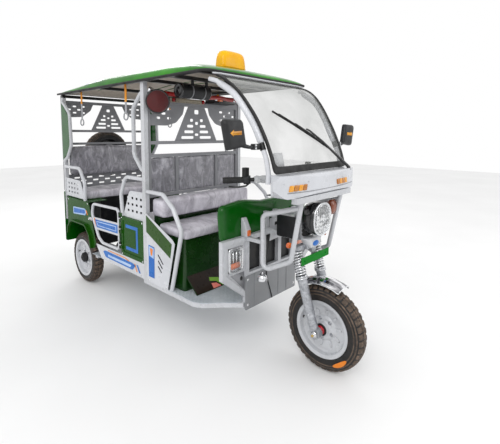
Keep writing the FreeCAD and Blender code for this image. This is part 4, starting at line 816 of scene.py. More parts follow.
plo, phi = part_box("partition_pads")
for i, (y0, y1) in enumerate(((-0.409, -0.202), (-0.180, 0.180), (0.202, 0.409))):
    c_ = cushion("partition_pad_%d" % i, (Vector((plo.x, y0, plo.z)), Vector((phi.x, y1, phi.z))), "vinyl_dark",
                 res=(4, 22 if i == 1 else 14, 18), axis_up=0, crown=0.004, wrinkle=0.003, edge=0.008, flat_side=0, pinch=0.002)
    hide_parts("partition_pads")


# ------------------------------------------------------------------- wheels
def tyre(name, node, centre, axis, r_out, lugs, body):
    """Tyre turned with tread blocks cut by zig-zag and cross grooves."""
    hw, rf, rb = 0.047, 0.166, 0.151
    prof = [(-0.040, rb + 0.001), (-0.0405, rf - 0.002), (-0.0455, rf + 0.004), (-hw + 0.0015, rf + 0.016)]
    side = [(0.30, 0.0), (0.42, 0.0), (0.47, 0.0012), (0.50, 0.0), (0.62, 0.0004), (0.66, 0.0016), (0.70, 0.0002), (0.80, 0.0)]
    h = r_out - rf
    for f, up in side:
        bulge = hw + 0.0 - 0.0075 * max(0.0, (f - 0.52)) / 0.28 * 1.0
        prof.append((-(min(hw, bulge) + up), rf + f * h))
    shoulder = [(-0.0385, r_out - 0.0125), (-0.034, r_out - 0.0075), (-0.029, r_out - 0.0048)]
    tread = [(-0.025, 0.0033), (-0.021, 0.0024), (-0.017, 0.0017), (-0.013, 0.0011), (-0.009, 0.0007), (-0.005, 0.0003), (0.0, 0.0)]
    left = prof + shoulder + [(a, r_out - d) for a, d in tread]
    full = left + [(-a, r) for a, r in left[::-1][1:]]
    n_ = len(full)
    segs = lugs * 8
    ax = Vector(axis).normalized()
    e1 = Vector((0, 0, 1)) if abs(ax.z) < 0.9 else Vector((1, 0, 0))
    e2 = ax.cross(e1).normalized()
    vs, fs = [], []
    low = []
    for k in range(segs):
        an = 2 * math.pi * k / segs
        ph = k / 8.0
        d = e1 * math.cos(an) + e2 * math.sin(an)
        tri = abs((ph % 1.0) - 0.5) * 2          # 0..1..0 zig-zag
        for (a, r) in full:
            rr, aa = r, a
            g = 0.0
            if r > r_out - 0.016:
                zig = 0.013 + 0.0042 * (tri - 0.5)
                g = 0.0
                if abs(abs(a) - zig) < 0.0024:
                    g = 0.0042
                sh = (ph * 1.0 + (0.5 if a > 0 else 0.0)) % 1.0
                if abs(a) > 0.017 and sh < 0.26:
                    g = max(g, 0.0046)
                if abs(a) < 0.010 and (ph % 1.0) < 0.13:
                    g = max(g, 0.0026)
                rr = r - g
            elif r > r_out - 0.030:
                sh = (ph + (0.5 if a > 0 else 0.0)) % 1.0
                if sh < 0.26:
                    aa = a - math.copysign(0.0012, a)
            vs.append(Vector(centre) + ax * aa + d * rr)
            low.append(g > 0)
    for k in range(segs):
        l_ = (k + 1) % segs
        for i in range(n_ - 1):
            fs.append((k * n_ + i, k * n_ + i + 1, l_ * n_ + i + 1, l_ * n_ + i))
    ob = new_mesh(name, vs, fs)
    md = ob.modifiers.new("crease", "EDGE_SPLIT")
    md.split_angle = 0.62
    give(ob, "tyre", body)
    ob.data.materials.append(M["tyre_tread"].m)
    # the brown tread compound goes on the crown and two sidewall bands; faces in the grooves keep the black compound as
    # painted shade in the grooves
    mid_ = [(full[i][1] + full[i + 1][1]) / 2 for i in range(n_ - 1)]
    dusty = [i for i in range(n_ - 1) if mid_[i] > rf + 0.76 * h or rf + 0.60 * h < mid_[i] < rf + 0.69 * h or rf + 0.43 * h < mid_[i] < rf + 0.49 * h]
    for p_ in ob.data.polygons:
        if p_.index % (n_ - 1) in dusty and sum(low[i] for i in p_.vertices) < 3:
            p_.material_index = 1
    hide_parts(node)
    return ob


def rim(name, node, centre, axis, out_sign, key, body, bore, front=False, cap="black"):
    """Pressed disc wheel: rolled flanges, drop centre, stepped disc with ribs and a hub."""
    ax = Vector(axis).normalized() * out_sign
    c0 = Vector(centre)
    rf, rb = 0.166, 0.151
    prof = [(0.046, rf - 0.0015), (0.0475, rf), (0.046, rf + 0.0012), (0.0435, rf + 0.0004), (0.041, rf - 0.004), (0.041, rb),
            (-0.041, rb), (-0.041, rf - 0.004), (-0.0435, rf + 0.0004), (-0.046, rf + 0.0012), (-0.0475, rf), (-0.046, rf - 0.0015),
            (-0.044, rb - 0.004), (-0.018, rb - 0.009), (0.004, rb - 0.012), (0.004, 0.112), (-0.001, 0.100), (-0.001, 0.074),
            (0.008, 0.064), (0.008, 0.046), (-0.046, 0.044), (-0.048, bore + 0.004), (-0.048, bore),
            (0.048, bore), (0.048, bore + 0.006), (0.046, 0.034), (0.022, 0.040), (0.016, 0.050), (0.016, 0.062), (0.008, 0.074),
            (0.008, 0.098), (0.014, 0.112), (0.012, rb - 0.020), (0.020, rb - 0.010), (0.044, rb - 0.005)]
    parts_ = [lathe(prof, c0, ax, 96, closed_profile=True)]
    e1 = ax.orthogonal().normalized()
    e2 = ax.cross(e1)
    # raised radial ribs and a ring of nuts
    for k in range(10):
        an = 2 * math.pi * k / 10
        d = e1 * math.cos(an) + e2 * math.sin(an)
        t = ax.cross(d)
        o = []
        for (rr, hw_) in ((0.076, 0.006), (0.086, 0.0075), (0.108, 0.0075), (0.116, 0.005)):
            o.append((rr, hw_))
        top = [c0 + d * rr + t * w_ + ax * 0.0135 for rr, w_ in o] + [c0 + d * rr - t * w_ + ax * 0.0135 for rr, w_ in o[::-1]]
        bot = [q - ax * 0.008 + (q - c0).normalized() * 0.0 for q in top]
        n_ = len(top)
        vs = bot + top
        fs = [tuple(range(n_, 2 * n_))] + [(i, (i + 1) % n_, n_ + (i + 1) % n_, n_ + i) for i in range(n_)]
        parts_.append((vs, fs))
    ob = join_meshes(name, parts_)
    bevel(ob, 0.0016, 2, 0.7)
    md = ob.modifiers.new("crease", "EDGE_SPLIT")
    md.split_angle = 0.55
    give(ob, key, body)
    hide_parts(node)
    nuts = []
    for k in range(5):
        an = 2 * math.pi * (k + 0.5) / 5
        d = e1 * math.cos(an) + e2 * math.sin(an)
        nuts.append(bolt(c0 + d * 0.056 + ax * 0.016, ax, 0.0075, 0.008))
    nb = join_meshes(name + "_nuts", nuts)
    give(nb, "cast", body)
    # valve stem
    d = (e1 * 0.55 + e2 * -0.83).normalized()
    v0 = c0 + d * 0.139 + ax * 0.012
    vv = tube_mesh([v0, v0 + ax * 0.012 - d * 0.003, v0 + ax * 0.024 - d * 0.008], [0.0042, 0.0040, 0.0032], 10)
    give(join_meshes(name + "_valve", [vv]), "rubber", body)
    if cap == "black":
        pr = [(0.047, 0.0), (0.058, 0.010), (0.060, 0.024), (0.054, 0.030), (0.047, 0.042), (0.024, 0.045), (0.020, 0.041)]
        cp = lathe([(h_, max(r_, 0.0001)) for h_, r_ in pr], c0, ax, 40)
        ribs = [cp]
        for k in range(12):
            an = 2 * math.pi * k / 12
            dd = e1 * math.cos(an) + e2 * math.sin(an)
            tt = ax.cross(dd)
            q = c0 + dd * 0.036
            ribs.append(solid_outline([q + tt * 0.003 + dd * 0.006 + ax * 0.040, q - tt * 0.003 + dd * 0.006 + ax * 0.040,
                                       q - tt * 0.003 - dd * 0.006 + ax * 0.050, q + tt * 0.003 - dd * 0.006 + ax * 0.050], ax, 0.006))
        give(join_meshes(name + "_hub_cap", ribs), "iron", body)
    return ob


def wheels():
    b_lo, b_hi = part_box("rear_tyre_right")
    for side, s in (("right", -1), ("left", 1)):
        lo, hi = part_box("rear_tyre_%s" % side)
        c = (lo + hi) / 2
        c = Vector((SX - 1.150, c.y, 0.228))
        tyre("rear_tyre_%s_skin" % side, "rear_tyre_%s" % side, c, (0, 1, 0), 0.228, 34, "rear_wheel_%s" % side)
        rim("rear_rim_%s_skin" % side, "rear_rim_%s" % side, c, (0, 1, 0), s, "white", "rear_wheel_%s" % side, 0.0158)
    lo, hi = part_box("front_tyre")
    c = Vector(((lo.x + hi.x) / 2, 0, 0.247))
    tyre("front_tyre_skin", "front_tyre", c, (0, 1, 0), 0.247, 38, "front_wheel")
    rim("front_rim_skin", "front_rim", c, (0, 1, 0), -1, "silver", "front_wheel", 0.0088, cap="none")
    # red bearing cap and black seal on both hub faces
    for s in (-1, 1):
        ax = Vector((0, s, 0))
        seal = lathe([(0.046, 0.036), (0.051, 0.034), (0.052, 0.026), (0.049, 0.025)], c, ax, 36)
        give(join_meshes("hub_seal_%d" % (s + 1), [seal]), "rubber", "front_wheel")
        cupm = lathe([(0.048, 0.025), (0.060, 0.024), (0.064, 0.019), (0.064, 0.0095)], c, ax, 36)
        give(join_meshes("hub_cup_%d" % (s + 1), [cupm]), "red_hub", "front_wheel")
    lo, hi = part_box("spare_tyre")
    c = (lo + hi) / 2
    tyre("spare_tyre_skin", "spare_tyre", c, (1, 0, 0), 0.228, 34, "chassis")
    rim("spare_rim_skin", "spare_rim", c, (1, 0, 0), -1, "black_paint", "chassis", 0.0202, cap="none")
    # orange paint mark on the front tyre's outer wall
    vs, fs = [], []
    c = Vector(((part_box("front_tyre")[0].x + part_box("front_tyre")[1].x) / 2, 0, 0.247))
    for (r0, r1, a0, a1, tag) in ((0.188, 0.216, -66, -36, "mark"),):
        N = 24
        ring_o, ring_i = [], []
        for k in range(N):
            t = 2 * math.pi * k / N
            am = math.radians((a0 + a1) / 2 + (a1 - a0) / 2 * math.cos(t))
            rm = (r0 + r1) / 2 + (r1 - r0) / 2 * math.sin(t) * 0.9
            am2 = math.radians((a0 + a1) / 2 + (a1 - a0) / 2 * 0.86 * math.cos(t))
            rm2 = (r0 + r1) / 2 + (r1 - r0) / 2 * 0.60 * math.sin(t)
            ring_o.append(c + Vector((math.cos(am) * rm, -0.0492, math.sin(am) * rm)))
            ring_i.append(c + Vector((math.cos(am2) * rm2, -0.0492, math.sin(am2) * rm2)))
        vs = ring_o + ring_i
        fs = [(k, (k + 1) % N, N + (k + 1) % N, N + k) for k in range(N)]
        fs.append(tuple(range(N, 2 * N)))
    ob = new_mesh("tyre_paint_mark", vs, fs)
    ob.modifiers.new("film", "SOLIDIFY").thickness = 0.0006
    give(ob, "orange_film", "front_wheel")


wheels()


# ---------------------------------------------------------------- fork springs
def springs():
    rake = math.radians(14)
    up = Vector((-math.sin(rake), 0, math.cos(rake)))

    def sx(z):
        return 1024.0 - math.tan(rake) * (z - 530.0)
    for s in (-1, 1):
        y = s * 98
        base = P(sx(548) + 5, y, 548)
        e1 = Vector((math.cos(rake), 0, math.sin(rake)))
        e2 = Vector((0, 1, 0))
        L = 0.137
        pts = []
        turns, n_ = 8.5, 8.5 * 22
        for k in range(int(n_) + 1):
            f = k / n_
            an = 2 * math.pi * turns * f
            pts.append(base + up * (0.005 + (L - 0.010) * f) + (e1 * math.cos(an) + e2 * math.sin(an)) * 0.0278)
        coil = tube_mesh(pts, 0.0046, 8)
        ob = join_meshes("coil_spring_%s" % ("right" if s < 0 else "left"), [coil])
        give(ob, "chrome", "steering")
        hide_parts("fork_springs")
        rings = []
        for h, r in ((-0.012, 0.0345), (-0.006, 0.0335), (0.0, 0.0345)):
            rings.append(lathe([(h, 0.016), (h, r - 0.002), (h + 0.001, r), (h + 0.004, r), (h + 0.005, r - 0.002), (h + 0.005, 0.016)],
                               base, up, 36))
        rings.append(lathe([(L - 0.004, 0.016), (L - 0.003, 0.032), (L + 0.006, 0.033), (L + 0.008, 0.016)], base, up, 36))
        inner = tube_mesh([base + up * 0.002, base + up * (L - 0.002)], 0.0158, 20)
        ob = join_meshes("spring_collars_%s" % ("right" if s < 0 else "left"), rings + [inner])
        give(ob, "chrome", "steering")


springs()


# ------------------------------------------------------------------- headlamp
def ellipse(cx, cy, cz, ry, rz, n_=40, p=2.4, x=None):
    out = []
    for k in range(n_):
        t = 2 * math.pi * k / n_
        cc, ss = math.cos(t), math.sin(t)
        out.append((cx, cy + ry * math.copysign(abs(cc) ** (2 / p), cc), cz + rz * math.copysign(abs(ss) ** (2 / p), ss)))
    return out


def loft(name, rings, cap_ends=(True, True)):
    n_ = len(rings[0])
    vs = [P(*q) for r in rings for q in r]
    fs = []
    for i in range(len(rings) - 1):
        for k in range(n_):
            l_ = (k + 1) % n_
            fs.append((i * n_ + k, i * n_ + l_, (i + 1) * n_ + l_, (i + 1) * n_ + k))
    if cap_ends[0]:
        fs.append(tuple(range(n_))[::-1])
    if cap_ends[1]:
        fs.append(tuple((len(rings) - 1) * n_ + k for k in range(n_)))
    return vs, fs


def headlamp():
    # nacelle body
    rings = [ellipse(1001, 0, 876, 60, 68), ellipse(1004, 0, 876, 80, 84), ellipse(1024, 0, 877, 92, 93), ellipse(1060, 0, 878, 96, 94),
             ellipse(1089, 0, 878, 93, 93), ellipse(1093, 0, 878, 86, 88)]
    ob = join_meshes("headlamp_body", [loft("hb", rings)])
    give(ob, "black_gloss", "chassis")
    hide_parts("headlamp")
    # reflector bowl behind the lens, in three stepped bowls
    rr = []
    for cz, rz, ry in ((925, 36, 66), (878, 34, 76), (830, 36, 62)):
        rings = [ellipse(1094, 0, cz, ry, rz, p=3.0), ellipse(1085, 0, cz, ry * 0.8, rz * 0.8, p=2.6), ellipse(1072, 0, cz, ry * 0.45, rz * 0.5, p=2.2)]
        rr.append(loft("r", rings, (False, True)))
    rr.append(loft("plate", [ellipse(1093.5, 0, 878, 86, 88), ellipse(1095, 0, 878, 80, 82)], (False, True)))
    ob = join_meshes("headlamp_reflector", rr)
    give(ob, "facets", "chassis")
    # bulbs
    bl = []
    for cz in (925, 878, 830):
        bl.append(lathe([(0.0, 0.0001), (0.0, 0.007), (0.010, 0.008), (0.016, 0.005), (0.018, 0.0001)], P(1080, 0, cz), (1, 0, 0), 20))
    give(join_meshes("headlamp_bulbs", bl), "chrome", "chassis")
    # bowed clear lens and its bezel
    rings = []
    for f in (0.0, 0.25, 0.5, 0.72, 0.88, 0.97):
        k = math.sqrt(max(0.0, 1 - f * f))
        rings.append(ellipse(1095 + 17 * f, 0, 878, 86 * k + 2, 88 * k + 2))
    ob = join_meshes("headlamp_lens", [loft("l", rings)])
    give(ob, LENS, "chassis")
    bz = [Vector(P(*q)) for q in ellipse(1094, 0, 878, 89, 91)]
    ob = join_meshes("headlamp_bezel", [tube_mesh(bz, 0.0045, 10, closed=True)])
    give(ob, "chrome", "chassis")
    # silver shield and black bellows under the lamp, on the fork
    rings = [ellipse(1034, -5, 768, 70, 10, p=4), ellipse(1040, -5, 752, 76, 14, p=4), ellipse(1042, -5, 726, 72, 14, p=4), ellipse(1038, -5, 702, 52, 12, p=4)]

    def slab(z, y, x0, x1):
        return [(x0, -y, z), (x0, y, z), (x0 + (x1 - x0) * 0.7, y, z), (x1, y * 0.86, z), (x1 + 4, 0, z), (x1, -y * 0.86, z), (x0 + (x1 - x0) * 0.7, -y, z)]
    rings = [slab(700, 30, 1010, 1040), slab(706, 44, 1007, 1046), slab(730, 64, 1004, 1050), slab(757, 82, 1002, 1048), slab(766, 80, 1004, 1042)]
    ob = join_meshes("fork_shield", [loft("s", rings)])
    bevel(ob, 0.004, 3, 0.35)
    give(ob, "silver", "steering")
    ov = [Vector(P(1051.5, 0 + 30 * math.cos(t), 730 + 16 * math.sin(t))) for t in [2 * math.pi * k / 32 for k in range(32)]]
    ob = join_meshes("fork_shield_boss", [solid_outline(ov, (1, 0, 0), 0.003)])
    bevel(ob, 0.0012, 2)
    give(ob, "blue_film", "steering")
    bell = []
    for i in range(5):
        z = 842 - i * 15
        x = 975 + i * 3
        bell.append(ellipse(x, 0, z, 60 - i * 1.5, 1, p=2.2))
    rings = []
    for i in range(7):
        z = 770 + i * 10
        w = 52 + (8 if i % 2 else 0)
        rings.append([(996 + (w * 0.42) * math.cos(t) * 0.7, w * math.sin(t), z) for t in [2 * math.pi * k / 28 for k in range(28)]])
    ob = join_meshes("lamp_bellows", [loft("b", rings)])
    give(ob, "rubber", "chassis")


headlamp()


# ---------------------------------------------------------- small front lamps
def box_lamp(side, s):
    # painted plate filling the frame, with the lamp's window and a small hole under it
    def q(y, z, x):
        return P(x, s * y, z)
    outer = [(411.6, 563), (246.4, 420), (246.4, 727.6), (411.6, 727.6)]
    win = [(390, 556), (262, 556), (262, 708), (390, 708)]
    vs, fs = [], []
    for x in (720.5, 703.0):
        vs += [q(y, z, x) for y, z in outer] + [q(y, z, x) for y, z in win]
    for k in range(4):
        l_ = (k + 1) % 4
        fs.append((k, l_, 4 + l_, 4 + k))
        fs.append((8 + k, 12 + k, 12 + l_, 8 + l_))
        fs.append((4 + k, 4 + l_, 12 + l_, 12 + k))
        fs.append((k, 8 + k, 8 + l_, l_))
    ob = join_meshes("corner_lamp_case_%s" % side, [(vs, fs)])
    for p_ in ob.data.polygons:
        p_.use_smooth = False
    give(ob, "silver", "chassis")
    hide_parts("front_lamps")

    def ring(inset, x, rad, z_a=556, z_b=708):
        return round_outline([q(390 - inset, z_a + inset, x), q(262 + inset, z_a + inset, x), q(262 + inset, z_b - inset, x), q(390 - inset, z_b - inset, x)], rad, 6)
    bz = join_meshes("corner_lamp_bezel_%s" % side, [tube_mesh(ring(7, 721, 0.022), 0.0060, 10, closed=True), tube_mesh(ring(20, 719, 0.018), 0.0028, 8, closed=True)])
    give(bz, "chrome", "chassis")
    ref, deep = ring(3, 719.5, 0.022), ring(30, 705.5, 0.012)
    n_ = len(ref)
    fs = [(k, (k + 1) % n_, n_ + (k + 1) % n_, n_ + k) for k in range(n_)] + [tuple(range(n_, 2 * n_))]
    give(join_meshes("corner_lamp_reflector_%s" % side, [(ref + deep, fs)]), "facets", "chassis")
    dk = ring(26, 708.0, 0.014)
    give(join_meshes("corner_lamp_bowl_%s" % side, [solid_outline(dk, (1, 0, 0), 0.002)]), "black_gloss", "chassis")
    rods = [tube_mesh([q(y, 610, 711), q(y, 680, 711)], 0.006, 10) for y in (312, 340)]
    give(join_meshes("corner_lamp_bulbs_%s" % side, rods), "chrome", "chassis")
    am = ring(22, 711, 0.012, 556, 632)
    give(join_meshes("corner_lamp_amber_%s" % side, [solid_outline(am, (1, 0, 0), 0.005)]), "orange", "chassis")
    ln, top = ring(12, 720, 0.018), ring(17, 725, 0.016)
    fs = [(k, (k + 1) % n_, n_ + (k + 1) % n_, n_ + k) for k in range(n_)] + [tuple(range(n_, 2 * n_))]
    give(join_meshes("corner_lamp_lens_%s" % side, [(ln + top, fs)]), LENS, "chassis")
    tri = [q(256, 544, 721.0), q(256, 440, 721.0), q(262, 438, 721.0), q(370, 544, 721.0)]
    give(join_meshes("corner_lamp_gusset_%s" % side, [solid_outline(tri, (1, 0, 0), 0.0012)]), "grey", "chassis")
    hole = [q(282 + 11 * math.cos(t), 508 + 13 * math.sin(t), 722.4) for t in [2 * math.pi * k / 20 for k in range(20)]]
    give(join_meshes("corner_lamp_hole_%s" % side, [solid_outline(hole, (1, 0, 0), 0.0006)]), "rubber", "chassis")
    # marker lamp standing on the top rail
    ya, yb = sorted((s * 229, s * 267))
    prof = [(702, 757.5), (749.5, 757.5), (749.5, 803), (716, 867), (702, 867)]
    vs, fs = solid_outline([P(x, ya + 0.4, z) for x, z in prof], (0, 1, 0), (yb - ya - 0.8) / 1000)
    ob = join_meshes("marker_case_%s" % side, [(vs, fs)])
    bevel(ob, 0.004, 3)
    give(ob, "silver", "chassis")
    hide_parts("front_lamps")
    o = [P(750, ya + 5, 762), P(750, yb - 5, 762), P(750, yb - 5, 798), P(750, ya + 5, 798)]
    ob = join_meshes("marker_amber_%s" % side, [solid_outline(round_outline(o, 0.008), (1, 0, 0), 0.004)])
    bevel(ob, 0.0015, 2)
    give(ob, "orange", "chassis")


both(lambda s, side: box_lamp(side, s))


# ------------------------------------------------------------- cowl details
COWL = [(0, 1118.0), (90, 1118.0), (165, 1115.6), (240, 1110.0), (300, 1101.6), (352, 1091.0), (380, 1082.0), (402, 1070.0)]


def cowl_x(y):
    y = abs(y)
    for (a, b_) in zip(COWL, COWL[1:]):
        if a[0] <= y <= b_[0]:
            return a[1] + (b_[1] - a[1]) * (y - a[0]) / (b_[0] - a[0])
    return COWL[-1][1]


def cowl_n(y):
    return Vector((1, -(cowl_x(y + 6) - cowl_x(y - 6)) / 12.0, 0)).normalized()


def cowl():
    for i, ya in enumerate((-334, 246)):
        d = 1 if i == 0 else -1
        for k in range(4):
            a = ya + d * (k * 34 + 2)
            b_ = ya + d * (k * 34 + 31)
            lo_, hi_ = 1070, 1101
            nn = cowl_n((a + b_) / 2)
            o = [P(cowl_x(a) - 1.0, a, lo_), P(cowl_x(b_) - 1.0, b_, lo_), P(cowl_x(b_ + d * 8) - 1.0, b_ + d * 8, hi_), P(cowl_x(a + d * 8) - 1.0, a + d * 8, hi_)]
            vs, fs = solid_outline(round_outline(o, 0.004, 3), nn, 0.0052)
            ob = join_meshes("cowl_reflector_%d_%d" % (i, k), [(vs, fs)])
            bevel(ob, 0.0012, 2)
            give(ob, "amber" if k % 2 == 0 else "amber_dark", "chassis")
    # raised rib along the lower front and screws
    path = [P(cowl_x(y) - 0.4, y, 1059 + 4 * (y / 340.0) ** 2) for y in [-340 + 680 * k / 34 for k in range(35)]]
    give(join_meshes("cowl_rib", [tube_mesh(path, 0.0022, 8)]), "grey", "chassis")
    sc = []
    for y in (-360, -180, 180, 360):
        sc.append(bolt(P(cowl_x(y) - 0.3, y, 1112), cowl_n(y), 0.003, 0.0016))
    give(join_meshes("cowl_screws", sc), "white", "chassis")
    # instrument on the dashboard
    rings = [ellipse(1040, 0, 1044 + 48, 70, 44, p=3.2), ellipse(1004, 0, 1044 + 46, 66, 40, p=3.2), ellipse(1000, 0, 1044 + 46, 60, 34, p=3)]
    ob = join_meshes("dash_gauge_case", [loft("g", rings)])
    give(ob, "black", "chassis")
    give(join_meshes("dash_gauge_glass", [loft("gg", [ellipse(999.5, 0, 1090, 54, 30, p=3), ellipse(998, 0, 1090, 50, 27, p=3)])]), LENS, "chassis")


cowl()


# -------------------------------------------------------------------- wiper
SCREEN = [(654, 1682), (800, 1588), (870, 1500), (925, 1415), (972, 1325), (1008, 1238), (1032, 1154), (1040, 1100)]


def screen_x(z):
    for (a, b_) in zip(SCREEN, SCREEN[1:]):
        if b_[1] <= z <= a[1]:
            return a[0] + (b_[0] - a[0]) * (a[1] - z) / (a[1] - b_[1])
    return SCREEN[-1][0]


def wiper():
    piv = P(1112, 330, 1138)
    base = lathe([(-0.004, 0.014), (0.010, 0.014), (0.016, 0.010), (0.020, 0.0001)], P(1082, 310, 1140), (0.6, 0, 0.8), 24)
    give(join_meshes("wiper_pivot", [base]), "rubber", "chassis")
    pts = [P(1090, 310, 1153), P(screen_x(1186) + 34, 292, 1190), P(screen_x(1250) + 24, 220, 1250), P(screen_x(1320) + 20, 140, 1318),
           P(screen_x(1380) + 15, 57, 1380), P(screen_x(1388) + 13, 30, 1390)]
    arm = tube_mesh(pts, [0.0105, 0.0095, 0.0080, 0.0065, 0.0055, 0.0045], 10)
    arm2 = tube_mesh([p_ + Vector((0.002, 0.012, -0.006)) for p_ in pts[1:5]], 0.0036, 8)
    give(join_meshes("wiper_arm", [arm, arm2]), "black_gloss", "chassis")
    pts = []
    for k in range(13):
        f = k / 12
        y = -215 + (212 + 215) * f
        z = 1481 + (1268 - 1481) * f
        pts.append(P(screen_x(z) + 7.5, y, z + 3))
    blade = tube_mesh(pts, 0.0058, 8)
    spine = tube_mesh([p_ + Vector((0.005, 0, 0.003)) for p_ in pts[1:-1]], 0.0052, 8)
    mid = tube_mesh([p_ + Vector((0.009, 0, 0.004)) for p_ in pts[4:9]], 0.0062, 8)
    give(join_meshes("wiper_blade", [blade, spine, mid]), "rubber", "chassis")


wiper()


# ------------------------------------------------------------------- mirrors
def mirror(s, side):
    o = [(-s * 0, 0)]
    yy = [(606, 1280), (490, 1296), (485, 1306), (512, 1430), (640, 1426)]
    pts = round_outline([P(920, s * a, z) for a, z in yy], [0.018, 0.012, 0.01, 0.02, 0.022], 6)
    c = sum(pts, Vector()) / len(pts)
    layers = [(0.000, 0.93), (0.002, 0.99), (0.008, 1.0), (0.022, 0.985), (0.031, 0.90), (0.034, 0.72)]
    n_ = len(pts)
    vs, fs = [], []
    for h, sc in layers:
        for q in pts:
            vs.append(c + (q - c) * sc + Vector((h, 0, 0)))
    for i in range(len(layers) - 1):
        for k in range(n_):
            l_ = (k + 1) % n_
            fs.append((i * n_ + k, i * n_ + l_, (i + 1) * n_ + l_, (i + 1) * n_ + k))
    fs.append(tuple(range(n_))[::-1])
    fs.append(tuple((len(layers) - 1) * n_ + k for k in range(n_)))
    ob = join_meshes("mirror_shell_%s" % side, [(vs, fs)])
    give(ob, "black", "chassis")
    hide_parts("side_mirrors")
    vs = [c + (q - c) * 0.88 + Vector((-0.0012, 0, 0)) for q in pts]
    give(join_meshes("mirror_glass_%s" % side, [solid_outline(vs, (1, 0, 0), 0.001)]), "mirror", "chassis")
    # amber arrow on the front
    zc, yc = 1362, s * 562
    k = -s
    arrow = [(yc + s * 40, zc), (yc + s * 18, zc + 16), (yc + s * 18, zc + 9), (yc - s * 36, zc + 12), (yc - s * 36, zc - 8), (yc + s * 18, zc - 9), (yc + s * 18, zc - 15)]
    give(join_meshes("mirror_arrow_%s" % side, [solid_outline([P(953.6, a, z) for a, z in arrow], (1, 0, 0), 0.0022)]), "amber", "chassis")
    # arm and clamp
    arm = tube_mesh([P(938, s * 520, 1312), P(942, s * 492, 1300), P(946, s * 462, 1294), P(948, s * 430, 1294)], [0.016, 0.011, 0.009, 0.010], 12)
    cl = lathe([(-0.020, 0.0132), (-0.019, 0.0158), (0.019, 0.0158), (0.020, 0.0132)], P(950.5, s * 367.8, 1294), (-0.38, -s * 0.02, 0.92), 28)
    lug = solid_outline([P(937, s * 443, 1280), P(959, s * 443, 1280), P(959, s * 443, 1310), P(937, s * 443, 1310)], (0, -s, 0), 0.060)
    ob = join_meshes("mirror_arm_%s" % side, [arm, cl, lug])
    bevel(ob, 0.0015, 2)
    give(ob, "black", "chassis")
    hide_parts("side_mirrors")
    give(join_meshes("mirror_bolts_%s" % side, [bolt(P(959, s * 426, 1302), (1, 0, 0), 0.0045), bolt(P(959, s * 426, 1287), (1, 0, 0), 0.0045)]), "chrome", "chassis")


both(mirror)


# --------------------------------------------------------------- handlebar bits
def bars():
    hx = 1024.0 - math.tan(math.radians(14)) * (1104.0 - 530.0)
    for s in (-1, 1):
        side = "right" if s < 0 else "left"
        A, B = Vector((hx - 186, s * 398, 1100)), Vector((hx - 50, s * 262, 1106))
        g = (A - B).normalized()
        # ribbed end of the grip, collar and the wrapped length of bar
        ribs = []
        for k in range(9):
            q = B + g * (82 + k * 13)
            ribs.append(lathe([(-0.0045, 0.0168), (-0.003, 0.0175), (0.003, 0.0175), (0.0045, 0.0168)], P(*q), g, 24))
        ribs.append(lathe([(-0.003, 0.012), (-0.003, 0.0176), (0.002, 0.0178), (0.004, 0.016), (0.004, 0.012)], P(*(A - g * 4)), g, 24))
        give(join_meshes("grip_ribs_%s" % side, ribs), "rubber", "steering")
        housing = lathe([(-0.020, 0.0175), (-0.019, 0.024), (0.018, 0.025), (0.022, 0.0175)], P(*(B + g * 62)), g, 24)
        give(join_meshes("control_box_%s" % side, [housing]), "black", "steering")
        # brake lever under the grip
        lp = [B + g * 52 + Vector((4, 0, -18)), B + g * 74 + Vector((8, 0, -34)), B + g * 120 + Vector((8, 0, -40)), B + g * 168 + Vector((4, 0, -36))]
        give(join_meshes("brake_lever_%s" % side, [tube_mesh([P(*q) for q in lp], [0.006, 0.0055, 0.005, 0.006], 10)]), "black_gloss", "steering")
        # packing sleeve on the bar by the screen
        pts = []
        rad = []
        for k in range(9):
            f = k / 8
            q = B + g * 24 + (Vector((hx + 1, s * 148, 1104)) - (B + g * 24)) * f
            pts.append(P(*q))
            rad.append(0.0215 + 0.0025 * math.sin(k * 2.3))
        rad[0] = rad[-1] = 0.015
        give(join_meshes("bar_sleeve_%s" % side, [tube_mesh(pts, rad, 18)]), "wrap", "steering")


bars()


# ----------------------------------------------------------------------- roof
ROOF = [(-1402, 476, 0.19), (-1330, 478.8, 0.29), (-1213, 482, 0.43), (-1110, 482, 0.52), (-1008, 482, 0.61), (-900, 482, 0.73),
        (-780, 482, 0.85), (-646, 482, 0.965), (-411, 482, 1.02), (-250, 482, 1.00), (-73, 482, 0.97), (100, 482, 0.94), (280, 482, 0.88), (420, 482, 0.76), (500, 482, 0.66)]
ROUND = 2.0 / 3.5


def cat(p0, p1, p2, p3, t):
    return 0.5 * ((2 * p1) + (-p0 + p2) * t + (2 * p0 - 5 * p1 + 4 * p2 - p3) * t * t + (-p0 + 3 * p1 - 3 * p2 + p3) * t ** 3)


def roof_row(x):
    """Half width and height of the canopy at a station x in mm."""
    if x >= 500:
        f = min(1.0, (x - 500.0) / 145.0)
        t = max(0.0, (x - 575.0) / 70.0)
        return 482 - 46 * (1 - math.sqrt(max(0.0, 1 - min(t, 1.0) ** 2))), 103.0 * (0.66 - 0.0021 * (x - 500.0)) * max(0.0, 1 - f ** 3.5) ** (1 / 3.5)
    for i in range(len(ROOF) - 1):
        if ROOF[i][0] <= x <= ROOF[i + 1][0]:
            break
    p0, p1, p2, p3 = ROOF[max(i - 1, 0)], ROOF[i], ROOF[i + 1], ROOF[min(i + 2, len(ROOF) - 1)]
    t = (x - p1[0]) / (p2[0] - p1[0])
    w_ = p1[1] + (p2[1] - p1[1]) * t
    return w_, 103.0 * cat(p0[2], p1[2], p2[2], p3[2], t)


